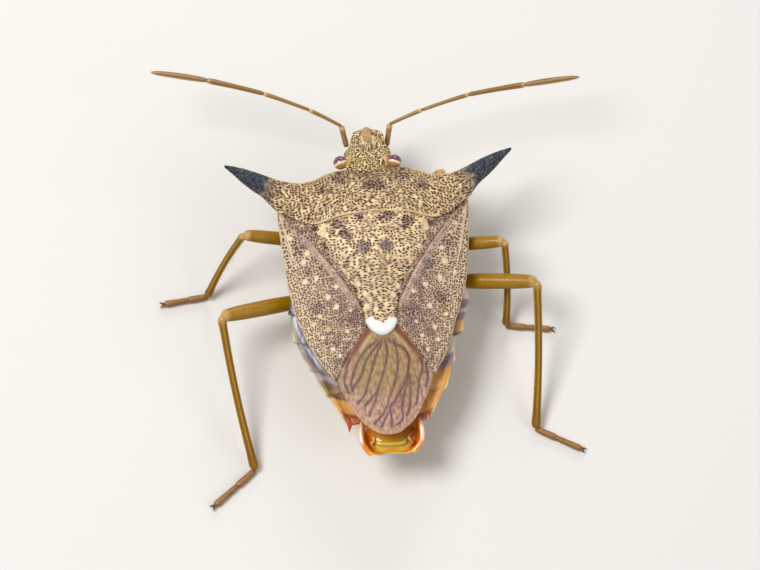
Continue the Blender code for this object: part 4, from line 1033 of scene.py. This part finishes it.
def head_marks(points):
    x, y, z = points.T
    x = x - smooth(HEAD_MIDDLE_X, y)
    clypeus = smooth(CLYPEUS_HALF_WIDTH, y)
    front = ease(6.62, 6.72, y) * (z > 3.2)
    beside = bump_at(np.abs(x) - clypeus, 0.045)
    grooves = beside * front * (1 - ease(7.05, 7.2, y))
    banks = beside * ease(7.1, 7.2, y) * (1 - ease(7.5, 7.7, y)) * front
    nose = (1 - ease(0.7, 1.1, np.abs(x) / clypeus)) * ease(7.2, 7.5, y) * (z > 3.2)
    temples = bump_at(np.hypot(np.abs(x) - 0.94, y - 6.27), 0.15)
    return {"line": grooves, "tan": np.clip(nose + temples, 0, 1), "rim": banks,
            "pale": np.clip(0.5 * bump_at(np.abs(x) - smooth(HEAD_HALF_WIDTH, y), 0.03) + 0.7 * temples + 0.25 * nose
                            + banks + grooves, 0, 1), "rows": 0 * y}


def feeler_radii(number, base):
    """(share, radius) pairs of one length of a feeler: narrow at its joints, thickest near its end."""
    if number == 3:
        return ((0, 0.55 * base), (0.05, 0.85 * base), (0.4, 1.05 * base), (0.8, 0.85 * base), (0.95, 0.5 * base),
                (1, 0.15 * base))
    return ((0, 0.6 * base), (0.04, 0.85 * base), (0.5, 0.95 * base), (0.93, 1.12 * base), (0.985, 1.0 * base),
            (1, 0.6 * base))


def place_on(points, start, end):
    """How far along the line from start to end each point lies, from 0 to 1."""
    start, end = np.array(start, float), np.array(end, float)
    way = end - start
    return np.clip((points - start) @ way / (way @ way), 0, 1)


def merged(meshes):
    """One bmesh that holds several, each still a closed shell."""
    whole = bmesh.new()
    for mesh in meshes:
        face_out(mesh)
        held = bpy.data.meshes.new("part")
        mesh.to_mesh(held)
        mesh.free()
        whole.from_mesh(held)
        bpy.data.meshes.remove(held)
    return whole


def hair_shells(start, end, radius, count, length, seed, lean=0.7):
    """Fine tapered hairs round a straight length of limb, leaning toward its far end."""
    rng = np.random.default_rng(seed)
    start, end = Vector(start), Vector(end)
    way = (end - start).normalized()
    aside = way.cross(Vector((0, 0, 1))).normalized()
    lift = aside.cross(way)
    mesh = bmesh.new()
    for number in range(count):
        share = (number + rng.random()) / count
        turn = rng.uniform(0, 2 * math.pi)
        outward = aside * math.sin(turn) + lift * math.cos(turn)
        root = start.lerp(end, share) + outward * (radius * 0.9)
        point = (outward + way * lean).normalized()
        size = length * rng.uniform(0.6, 1.1)
        stand = point.to_track_quat("Z", "Y").to_matrix().to_4x4()
        stand.translation = root + point * size / 2
        bmesh.ops.create_cone(mesh, cap_ends=True, segments=3, radius1=0.006, radius2=0.0005, depth=size,
                              matrix=stand)
    return mesh


class BUG_OT_pronotum(bpy.types.Operator):
    """Add the shoulder shield with its two horns"""
    bl_idname = "bug.pronotum"
    bl_label = "Shoulder shield"

    def execute(self, context):
        colours, sizes = context.scene.bug_colours, context.scene.bug_sizes
        shell = pitted_chitin("pitted_chitin_straw", colours.shoulder, colours.shoulder_tan, colours.pit,
                              sizes.shoulder_pitch / MM, 0.355, (0.94, 1.12),
                              (("shade", colours.shell_shade, 0.6), ("root", colours.horn_root, 0.5),
                               ("dusk", colours.dusk, 0.75), ("rim", colours.wing_edge, 0.8),
                               ("horn", colours.horn, 1.0)), join=0.12, scatter=0.65, sway=1.8,
                              uneven=0.1, ring=0.5, ridge=colours.horn_ridge_highlight)
        ends = SPINE_TIP_X * np.sin(np.linspace(-1, 1, 231) * np.pi / 2 * 0.93) / math.sin(np.pi / 2 * 0.93)
        finish("shoulder_shield", grow(pronotum_sections(ends, 96)), shell, ("pronotum",),
               pronotum_marks)
        return {"FINISHED"}


class BUG_OT_scutellum(bpy.types.Operator):
    """Add the scutellum with its white tip"""
    bl_idname = "bug.scutellum"
    bl_label = "Scutellum"

    def execute(self, context):
        colours, sizes = context.scene.bug_colours, context.scene.bug_sizes
        shell = pitted_chitin("pitted_chitin_white_tipped", colours.shell, colours.shell_tan, colours.pit,
                              sizes.shoulder_pitch / MM, 0.3, (0.85, 1.1),
                              (("lilac", colours.wing_mauve, 0.8), ("dusk", colours.smudge, 0.8),
                               ("spot", colours.spot, 0.95), ("wart", colours.wart, 0.8),
                               ("black", colours.horn, 0.9), ("white", colours.tip_white, 1.0)), rough=0.4, join=0.12,
                              scatter=0.65, sway=1.8, uneven=0.1, ring=0.35)
        mesh = plate(120, 170, scutellum_place, 0.3)
        finish("shield_plate", mesh, shell, ("scutellum",), scutellum_marks)
        return {"FINISHED"}


class BUG_OT_wings(bpy.types.Operator):
    """Add the two leathery fore wings"""
    bl_idname = "bug.wings"
    bl_label = "Leathery wings"

    def execute(self, context):
        colours, sizes = context.scene.bug_colours, context.scene.bug_sizes
        leather = pitted_chitin("pitted_chitin_mauve", colours.wing, colours.wing_mauve, colours.wing_pit,
                                sizes.wing_pitch / MM, 0.31, (0.95, 1.05),
                                (("edge", colours.wing_edge, 1.0), ("band", colours.wing_band, 0.6),
                                 ("seam", colours.wing_pit, 0.7), ("dusk", colours.dusk, 0.6),
                                 ("wart", colours.wart, 1.0), ("black", colours.horn, 1.0),
                                 ("gold", colours.wing_gold, 0.7)), scatter=0.65, sway=1.6, uneven=0.1, ring=0.4)
        for side, sign in SIDES:
            mesh = plate(110, 180, wing_place(side, sign), 0.2)
            finish(f"leathery_wing_{side}", mesh, leather, (f"wing_{side}",), wing_marks(side))
        return {"FINISHED"}


class BUG_OT_membranes(bpy.types.Operator):
    """Add the two veined wing tips, the left one on top"""
    bl_idname = "bug.membranes"
    bl_label = "Wing tips"

    def execute(self, context):
        sizes = context.scene.bug_sizes
        film = wing_tip_film("wing_tip_film", context.scene.bug_colours)
        width, rise = sizes.vein_width / MM, sizes.vein_rise / MM
        for side, first, last, lift in (("left", -1.0, 0.72, 0.0), ("right", -0.3, 1.0, -0.05)):
            mesh = plate(150, 170, membrane_place(first, last, lift, width, rise), 0.04)
            finish(f"wing_tip_{side}", mesh, film, (f"membrane_{side}",), membrane_marks(width))
        return {"FINISHED"}


class BUG_OT_abdomen(bpy.types.Operator):
    """Add the abdomen with its banded rim and pointed rear corners"""
    bl_idname = "bug.abdomen"
    bl_label = "Abdomen"

    def execute(self, context):
        colours = context.scene.bug_colours
        shell = tinted_chitin("glossy_banded_chitin", 0.4, 0.12, grain=0.35, shine=0.3)
        pieces = [grow(abdomen_sections(18, 96))]
        for sign in (-1, 1):
            tip_x, tip_y = REAR_CORNER_TIPS[sign]
            corner = vein_line(((sign * 1.86 - 0.06, -4.7, 2.98), (sign * 1.96 - 0.04, -5.2, 2.96),
                                (tip_x - sign * 0.02, tip_y + 0.45, 2.9), (tip_x, tip_y, 2.8)))
            pieces.append(limb(corner, ((0, 0.24), (0.5, 0.2), (0.8, 0.1), (1, 0.012)), 16, 0.55))
            flap = vein_line(((sign * 1.5, -5.2, 2.9), (sign * 1.52, -5.55, 2.9), (sign * 1.46, -5.9, 2.88)))
            pieces.append(limb(flap, ((0, 0.3), (0.6, 0.32), (0.92, 0.26), (1, 0.12)), 20, 0.3))
        finish("abdomen_shell", merged(pieces), shell, ("abdomen",), abdomen_marks(colours))
        return {"FINISHED"}


class BUG_OT_capsule(bpy.types.Operator):
    """Add the glossy orange capsule at the tail"""
    bl_idname = "bug.capsule"
    bl_label = "Tail capsule"

    def execute(self, context):
        colours = context.scene.bug_colours
        amber = tinted_chitin("clear_amber_chitin", 0.14, 0.8, glow=0.45, grain=0.1)
        pieces = [grow(capsule_sections(96))]
        for lip in CAPSULE_LIPS:
            pieces.append(limb(vein_line(lip), ((0, 0.06), (0.2, 0.12), (0.85, 0.125), (0.95, 0.12), (1, 0.05)), 20))
        for sign in (-1, 1):
            ridge = vein_line(((sign * 1.12 + 0.1, -6.3, 2.56), (sign * 0.88 + 0.1, -6.42, 2.66),
                               (sign * 0.8 + 0.1, -6.62, 2.7), (sign * 0.95 + 0.1, -6.82, 2.68),
                               (sign * 0.8 + 0.1, -7.02, 2.58)))
            pieces.append(limb(ridge, ((0, 0.03), (0.3, 0.08), (0.7, 0.08), (1, 0.02)), 14))
        sill = vein_line(((-0.6, -6.66, 2.58), (-0.42, -6.8, 2.64), (0.1, -6.83, 2.66), (0.6, -6.82, 2.64),
                          (0.78, -6.64, 2.6)))
        pieces.append(limb(sill, ((0, 0.05), (0.12, 0.1), (0.88, 0.1), (1, 0.05)), 16, 0.8))
        finish("tail_capsule", merged(pieces), amber, ("genital_capsule",),
               capsule_marks(colours))
        return {"FINISHED"}


class BUG_OT_head(bpy.types.Operator):
    """Add the head, its eyes, its simple eyes and the beak"""
    bl_idname = "bug.head"
    bl_label = "Head"

    def execute(self, context):
        colours, sizes = context.scene.bug_colours, context.scene.bug_sizes
        shell = pitted_chitin("pitted_chitin_head", colours.shoulder, colours.shell_shade, colours.pit,
                              sizes.head_pitch / MM, 0.36, (1.0, 1.0),
                              (("tan", colours.nose, 0.85), ("rim", colours.wart, 0.6),
                               ("line", colours.pit, 1.0)), join=0.2, scatter=0.7, ring=0.4)
        finish("head_shell", grow(head_sections(110, 200)), shell, ("head",), head_marks)
        eyes = tinted_chitin("faceted_eye", 0.16, 0.7, grain=0.5)
        for side, centre in EYES.items():
            self.add_eye(side, centre, eyes, colours)
        beads = bmesh.new()
        for centre in OCELLI:
            bmesh.ops.create_uvsphere(beads, u_segments=20, v_segments=12, radius=OCELLUS_RADIUS,
                                      matrix=Matrix.Translation(centre))
        glass = tinted_chitin("clear_red_lens", 0.1, 0.8, glow=0.2)
        finish("simple_eyes", beads, glass, (), lambda p: {"tint": tint_of(len(p), colours.ocellus)})
        stations = [(0, y, z) for y, z, _ in BEAK]
        points = np.array(stations)
        lengths = np.concatenate([[0], np.cumsum(np.linalg.norm(np.diff(points, axis=0), axis=1))])
        radii = list(zip(lengths / lengths[-1], (row[2] for row in BEAK)))
        horny = tinted_chitin("smooth_beak_chitin", 0.35, 0.2, glow=0.15, speckle=colours.leg_olive_and_shade)
        finish("beak_sheath", limb(path_points(stations, 70), radii, 18), horny, ("beak",),
               lambda p: {"tint": over(tint_of(len(p), colours.leg), ease(4.4, 3.4, p[:, 1]), colours.claw)})
        return {"FINISHED"}

    def add_eye(self, side, centre, material, colours):
        mesh = bmesh.new()
        bmesh.ops.create_uvsphere(mesh, u_segments=56, v_segments=36, radius=1)
        bmesh.ops.scale(mesh, vec=EYE_RADII, verts=mesh.verts)
        bmesh.ops.translate(mesh, vec=centre, verts=mesh.verts)

        def marks(points):
            back = (centre[1] - points[:, 1]) / EYE_RADII[1] - 0.3 * (np.abs(points[:, 0]) - abs(centre[0])) / 0.3
            # Painted reflection: a cream band across the back of the eye, then its own amber back
            tint = over(tint_of(len(points), colours.eye), ease(0.02, 0.12, back), colours.eye_glow)
            return {"tint": over(tint, ease(0.34, 0.46, back), colours.eye_amber)}

        finish(f"compound_eye_{side}", mesh, material, (f"eye_{side}",), marks)


class BUG_OT_thorax(bpy.types.Operator):
    """Add the breast between the shoulders and the abdomen"""
    bl_idname = "bug.thorax"
    bl_label = "Breast"

    def execute(self, context):
        colours, sizes = context.scene.bug_colours, context.scene.bug_sizes
        shell = pitted_chitin("pitted_chitin_breast", colours.belly, colours.shell_tan, colours.pit,
                              1.5 * sizes.shoulder_pitch / MM, 0.2, overlays=(("dusk", colours.dusk, 1.0),),
                              scatter=1.0, ring=0.3)
        y = np.linspace(*THORAX_Y, 40)[:, None]
        turn = 2 * np.pi * np.arange(80)[None, :] / 80
        x = smooth(THORAX_HALF_WIDTH, y) * rounded(np.sin(turn), 0.8)
        top = back_height(x, y) - 0.5
        flank = STERNUM_Z + np.maximum(np.abs(x) - 1.0, 0.0) * 0.5 + 0.6 * ease(2.7, 3.9, y)
        seam = 0.06 * (bump_at(y - 1.55, 0.08) + bump_at(np.abs(x) - 1.2, 0.1))
        share = 0.5 + 0.5 * rounded(np.cos(turn), 0.35)
        z = blend(np.minimum(flank + seam, top - 0.05), top, share)
        mesh = grow(np.stack([x, y + 0 * x, z], axis=2))
        finish("breast_plates", mesh, shell, ("thorax",),
               lambda p: {"dusk": 0.6 * bump_at(np.hypot(np.abs(p[:, 0]) - 2.4, p[:, 1] - 1.9), 0.3)})
        return {"FINISHED"}


class BUG_OT_feelers(bpy.types.Operator):
    """Add the two five-jointed feelers"""
    bl_idname = "bug.feelers"
    bl_label = "Feelers"

    def execute(self, context):
        colours = context.scene.bug_colours
        horny = tinted_chitin("tan_feeler_chitin", 0.38, 0.15, glow=0.1, speckle=colours.feeler_furrow,
                              furrow=colours.feeler_furrow)
        hair_length = context.scene.bug_sizes.hair_length / MM
        for side, joints in FEELERS.items():
            thick = FEELER_RADII[0]
            base = limb(path_points(joints[:2], 30), ((0, 0.7 * thick), (0.12, thick), (0.6, 0.95 * thick),
                                                      (0.93, 1.05 * thick), (1, 0.7 * thick)), 20)
            finish(f"feeler_{side}_base", base, horny, (f"antenna_{side}_base",),
                   self.marks(joints[:2], colours))
            pieces = []
            for number, (start, end) in enumerate(zip(joints[1:], joints[2:])):
                radius = FEELER_RADII[number + 1]
                bowed = np.array(path_points((start, end), 44))
                bowed[:, 2] += 0.06 * np.sin(np.pi * np.linspace(0, 1, 44))
                thin = number >= 2
                pieces.append(limb(bowed, feeler_radii(number, radius), 24, 0.85 if thin else 1.0,
                                   0.2 if thin else 0.0))
                pieces.append(hair_shells(start, end, radius * 0.8, 140, hair_length * 0.5, number + 7))
            finish(f"feeler_{side}_whip", merged(pieces), horny, (f"antenna_{side}",),
                   self.marks(joints[1:], colours))
        return {"FINISHED"}

    def marks(self, joints, colours):
        """Tan lengths with a pale ring before each joint, a dark line in it, and a paler last length."""
        def found(points):
            tint = tint_of(len(points), colours.feeler)
            tip = np.linalg.norm(points - np.array(joints[-1]), axis=1)
            if len(joints) > 2:
                tint = over(tint, 0.8 * (1 - ease(2.3, 2.6, tip)), colours.feeler_tip)
            for before, joint in zip(joints, joints[1:-1] if len(joints) > 2 else joints[1:]):
                way = np.array(joint) - np.array(before)
                ahead = (points - np.array(joint)) @ way / np.linalg.norm(way)
                away = np.linalg.norm(points - np.array(joint), axis=1)
                tint = over(tint, 0.9 * bump_at(ahead + 0.1, 0.09) * (away < 0.4), colours.leg_pale_and_highlight)
                tint = over(tint, 0.8 * bump_at(ahead - 0.02, 0.03) * (away < 0.3), colours.claw)
            return {"tint": tint}

        return found


class BUG_OT_legs(bpy.types.Operator):
    """Add the six legs: thigh, shin and foot of each, with claws and fine hairs"""
    bl_idname = "bug.legs"
    bl_label = "Legs"

    def execute(self, context):
        colours = context.scene.bug_colours
        amber = tinted_chitin("amber_leg_chitin", 0.3, 0.12, glow=0.1, grain=0.3, speckle=colours.leg_olive_and_shade,
                              furrow=colours.shin_furrow, shine=0.12)
        rusty = tinted_chitin("rusty_foot_chitin", 0.38, 0.12, glow=0.15, grain=0.3, speckle=colours.shin_furrow)
        hair_length = context.scene.bug_sizes.hair_length / MM
        for seed, (name, (coxa, knee, ankle, toe)) in enumerate(LEGS.items()):
            pair = name.split("_")[0]
            hip = (coxa[0] + math.copysign(0.35, coxa[0]), coxa[1], coxa[2] - TROCHANTER_DROP)
            self.add_thigh(name, coxa, hip, knee, THIGH_RADIUS[pair], amber, colours)
            self.add_shin(name, knee, ankle, SHIN_RADIUS[pair], amber, colours, hair_length, seed)
            self.add_foot(name, ankle, toe, rusty, colours, hair_length, seed)
        return {"FINISHED"}

    def add_thigh(self, name, coxa, hip, knee, radius, material, colours):
        stub = limb(path_points((coxa, hip), 12), ((0, 0.22), (0.4, 0.3), (1, 0.2)), 20)
        path = path_points((hip, knee), 48)
        path[:, 2] += 0.12 * np.sin(np.pi * np.linspace(0, 1, 48))
        thigh = limb(path, ((0, 0.5 * radius), (0.08, 0.7 * radius), (0.35, 0.88 * radius), (0.6, radius),
                            (0.8, 0.97 * radius), (0.93, 0.85 * radius), (0.985, 0.7 * radius),
                            (1, 0.35 * radius)), 28, 1.04)

        def marks(points):
            share = place_on(points, hip, knee)
            middle = np.array(hip) + share[:, None] * (np.array(knee) - np.array(hip))
            height = (points[:, 2] - middle[:, 2]) / radius
            # Painted shade: the thigh darkens to olive on its underside. Painted highlight: a pale streak along its top
            # toward the knee. The pale knee is its own colour.
            tint = over(tint_of(len(points), colours.leg), 0.85 * ease(0.25, -0.7, height), colours.leg_olive_and_shade)
            tint = over(tint, 0.12 * ease(0.5, 0.85, share) * ease(0.4, 1.0, height), colours.leg_pale_and_highlight)
            tint = over(tint, 0.7 * ease(0.93, 0.985, share), colours.leg_pale_and_highlight)
            return {"tint": tint}

        finish(f"{name}_thigh", merged([stub, thigh]), material, (f"{name}_femur",), marks)

    def add_shin(self, name, knee, ankle, radius, material, colours, hair_length, seed):
        path = path_points((knee, ankle), 60)
        bow = np.cross(np.array(ankle) - np.array(knee), (0, 0, 1))
        bow *= math.copysign(0.1, bow[0] * knee[0]) / np.linalg.norm(bow)
        path += np.sin(np.pi * np.linspace(0, 1, 60))[:, None] * bow
        shin = limb(path, ((0, 0.7 * radius), (0.03, 1.1 * radius), (0.08, 0.95 * radius), (0.5, 0.9 * radius),
                           (0.88, 1.0 * radius), (0.97, 1.12 * radius), (1, 0.6 * radius)), 28, 0.95, 0.16)
        hairs = hair_shells(knee, ankle, radius * 0.8, 170, hair_length, seed + 20)

        def marks(points):
            share = place_on(points, knee, ankle)
            tint = tint_of(len(points), colours.shin)
            tint = over(tint, 0.8 * (1 - ease(0.0, 0.07, share)), colours.leg_pale_and_highlight)
            return {"tint": over(tint, 0.6 * ease(0.75, 1.0, share), colours.tarsus)}

        finish(f"{name}_shin", merged([shin, hairs]), material, (f"{name}_tibia",), marks)

    def add_foot(self, name, ankle, toe, material, colours, hair_length, seed):
        heel = np.array((ankle[0], ankle[1], toe[2]))
        toe = np.array(toe, float)
        way = (toe - heel) / np.linalg.norm(toe - heel)
        joint = 0.88 * FOOT_RADIUS
        pieces = []
        for start, end, size in ((0.0, 0.46, 1.05), (0.45, 0.64, 0.9), (0.62, 1.0, 1.0)):
            ends = (heel + (toe - heel) * start, heel + (toe - heel) * end)
            pieces.append(limb(path_points(ends, 18), ((0, 0.72 * joint), (0.12, 0.9 * joint * size),
                                                       (0.85, 1.04 * joint * size), (1, 0.66 * joint * size)), 20))
        for sign in (-1, 1):
            claw_way = np.array((Matrix.Rotation(sign * math.radians(26), 3, "Z") @ Vector(way))[:])
            root = toe - way * 0.03 + claw_way * 0.03
            hook = np.array([root, root + claw_way * 0.1 + (0, 0, 0.03), root + claw_way * 0.2,
                             root + claw_way * 0.25 - (0, 0, 0.1)])
            pieces.append(limb(path_points(hook, 14), ((0, 0.05), (0.5, 0.04), (1, 0.006)), 12))
            pad = np.array([toe, toe + claw_way * 0.12 - (0, 0, 0.06)])
            pieces.append(limb(path_points(pad, 8), ((0, 0.035), (0.7, 0.05), (1, 0.02)), 10, 0.6))
        hairs = hair_shells(heel, toe, joint * 0.95, 120, hair_length * 0.8, seed + 40)
        for vertex in hairs.verts:
            vertex.co.z = max(vertex.co.z, 0.01)
        pieces.append(hairs)

        def marks(points):
            beyond = (points - toe) @ way
            # Painted highlight: the top of each foot is made paler
            top = ease(0.5, 1.0, (points[:, 2] - toe[2]) / joint)
            tint = over(tint_of(len(points), colours.tarsus), 0.2 * top, colours.leg_pale_and_highlight)
            return {"tint": over(tint, ease(0.02, 0.08, beyond) * 0.85, colours.claw)}

        finish(f"{name}_foot", merged(pieces), material, (f"{name}_tarsus",), marks)


class BUG_OT_stage(bpy.types.Operator):
    """Add the floor, the lights and the camera"""
    bl_idname = "bug.stage"
    bl_label = "Stage"

    def execute(self, context):
        stage = context.scene.bug_stage
        target = TO_FRAME @ Vector(CAMERA_TARGET)
        self.add_floor(stage)
        self.add_light("window", stage.key_power, 0.1, target, (-0.5, 0.15, 1.0), 0.22)
        self.add_light("fill", stage.fill_power, 0.16, target, (0.9, -0.5, 0.7), 0.24)
        self.add_light("back", stage.fill_power, 0.08, target, (0.2, 1.0, 0.5), 0.24)
        world = bpy.data.worlds.new("even_sky")
        world.use_nodes = True
        sky = world.node_tree.nodes["Background"]
        sky.inputs["Color"].default_value = (1.0, 1.0, 1.0, 1)
        sky.inputs["Strength"].default_value = stage.sky
        context.scene.world = world
        context.scene.view_settings.view_transform = "Standard"
        self.add_camera(context.scene, target)
        return {"FINISHED"}

    def add_floor(self, stage):
        mesh = bmesh.new()
        bmesh.ops.create_grid(mesh, x_segments=1, y_segments=1, size=stage.floor_reach)
        data = bpy.data.meshes.new("floor")
        mesh.to_mesh(data)
        mesh.free()
        material, tree, shader = new_material("matt_paper")
        place = add_node(tree, "ShaderNodeTexCoord").outputs["Object"]
        fibre = add_node(tree, "ShaderNodeTexNoise", {"Vector": place, "Scale": 900.0, "Detail": 3.0}).outputs["Fac"]
        relief = add_node(tree, "ShaderNodeBump", {"Height": fibre, "Strength": 0.15, "Distance": 0.00005})
        tree.links.new(relief.outputs["Normal"], shader.inputs["Normal"])
        shader.inputs["Base Color"].default_value = (*stage.floor, 1)
        shader.inputs["Roughness"].default_value = 0.85
        data.materials.append(material)
        floor = bpy.data.objects.new("floor", data)
        bpy.context.scene.collection.objects.link(floor)

    def add_light(self, name, power, size, target, direction, distance):
        lamp = bpy.data.lights.new(name, "AREA")
        lamp.energy = power
        lamp.shape = "DISK"
        lamp.size = size
        item = bpy.data.objects.new(name, lamp)
        way = Vector(direction).normalized()
        item.matrix_world = Matrix.Translation(target + way * distance) @ way.to_track_quat("Z", "Y").to_matrix().to_4x4()
        bpy.context.scene.collection.objects.link(item)

    def add_camera(self, scene, target):
        azimuth, elevation, roll = CAMERA_AZIMUTH, CAMERA_ELEVATION, CAMERA_ROLL
        back = Vector((math.sin(azimuth) * math.cos(elevation), -math.cos(azimuth) * math.cos(elevation),
                       math.sin(elevation)))
        right = Vector((math.cos(azimuth), math.sin(azimuth), 0))
        up = back.cross(right)
        turned_right = right * math.cos(roll) + up * math.sin(roll)
        turned_up = up * math.cos(roll) - right * math.sin(roll)
        lens = bpy.data.cameras.new("photo_view")
        lens.lens = lens.sensor_width * CAMERA_DISTANCE / VIEW_WIDTH
        lens.clip_start = 0.01
        camera = bpy.data.objects.new("photo_view", lens)
        pose = Matrix((turned_right, turned_up, back)).transposed().to_4x4()
        pose.translation = target + back * CAMERA_DISTANCE
        camera.matrix_world = pose
        scene.collection.objects.link(camera)
        scene.camera = camera


PIECES = (BUG_OT_pronotum, BUG_OT_scutellum, BUG_OT_wings, BUG_OT_membranes, BUG_OT_abdomen, BUG_OT_capsule,
          BUG_OT_head, BUG_OT_thorax, BUG_OT_feelers, BUG_OT_legs, BUG_OT_stage)


class BUG_PT_panel(bpy.types.Panel):
    """Lists the pieces, sizes and colours of the shield bug"""
    bl_idname = "BUG_PT_panel"
    bl_label = "Shield Bug"
    bl_space_type = "VIEW_3D"
    bl_region_type = "UI"
    bl_category = "Shield Bug"

    def draw(self, context):
        for operator in PIECES:
            self.layout.operator(operator.bl_idname)
        for group in (context.scene.bug_sizes, context.scene.bug_colours, context.scene.bug_stage):
            box = self.layout.box()
            for label in group.__annotations__:
                box.prop(group, label)


CLASSES = (ShieldBugSizes, ShieldBugColours, ShieldBugStage, *PIECES, BUG_PT_panel)


def register():
    for item in CLASSES:
        bpy.utils.register_class(item)
    bpy.types.Scene.bug_sizes = bpy.props.PointerProperty(type=ShieldBugSizes)
    bpy.types.Scene.bug_colours = bpy.props.PointerProperty(type=ShieldBugColours)
    bpy.types.Scene.bug_stage = bpy.props.PointerProperty(type=ShieldBugStage)


def unregister():
    del bpy.types.Scene.bug_stage
    del bpy.types.Scene.bug_colours
    del bpy.types.Scene.bug_sizes
    for item in reversed(CLASSES):
        bpy.utils.unregister_class(item)


def main():
    register()
    bpy.ops.bug.pronotum()
    bpy.ops.bug.scutellum()
    bpy.ops.bug.wings()
    bpy.ops.bug.membranes()
    bpy.ops.bug.abdomen()
    bpy.ops.bug.capsule()
    bpy.ops.bug.head()
    bpy.ops.bug.thorax()
    bpy.ops.bug.feelers()
    bpy.ops.bug.legs()
    bpy.ops.bug.stage()


if __name__ == "__main__":
    main()
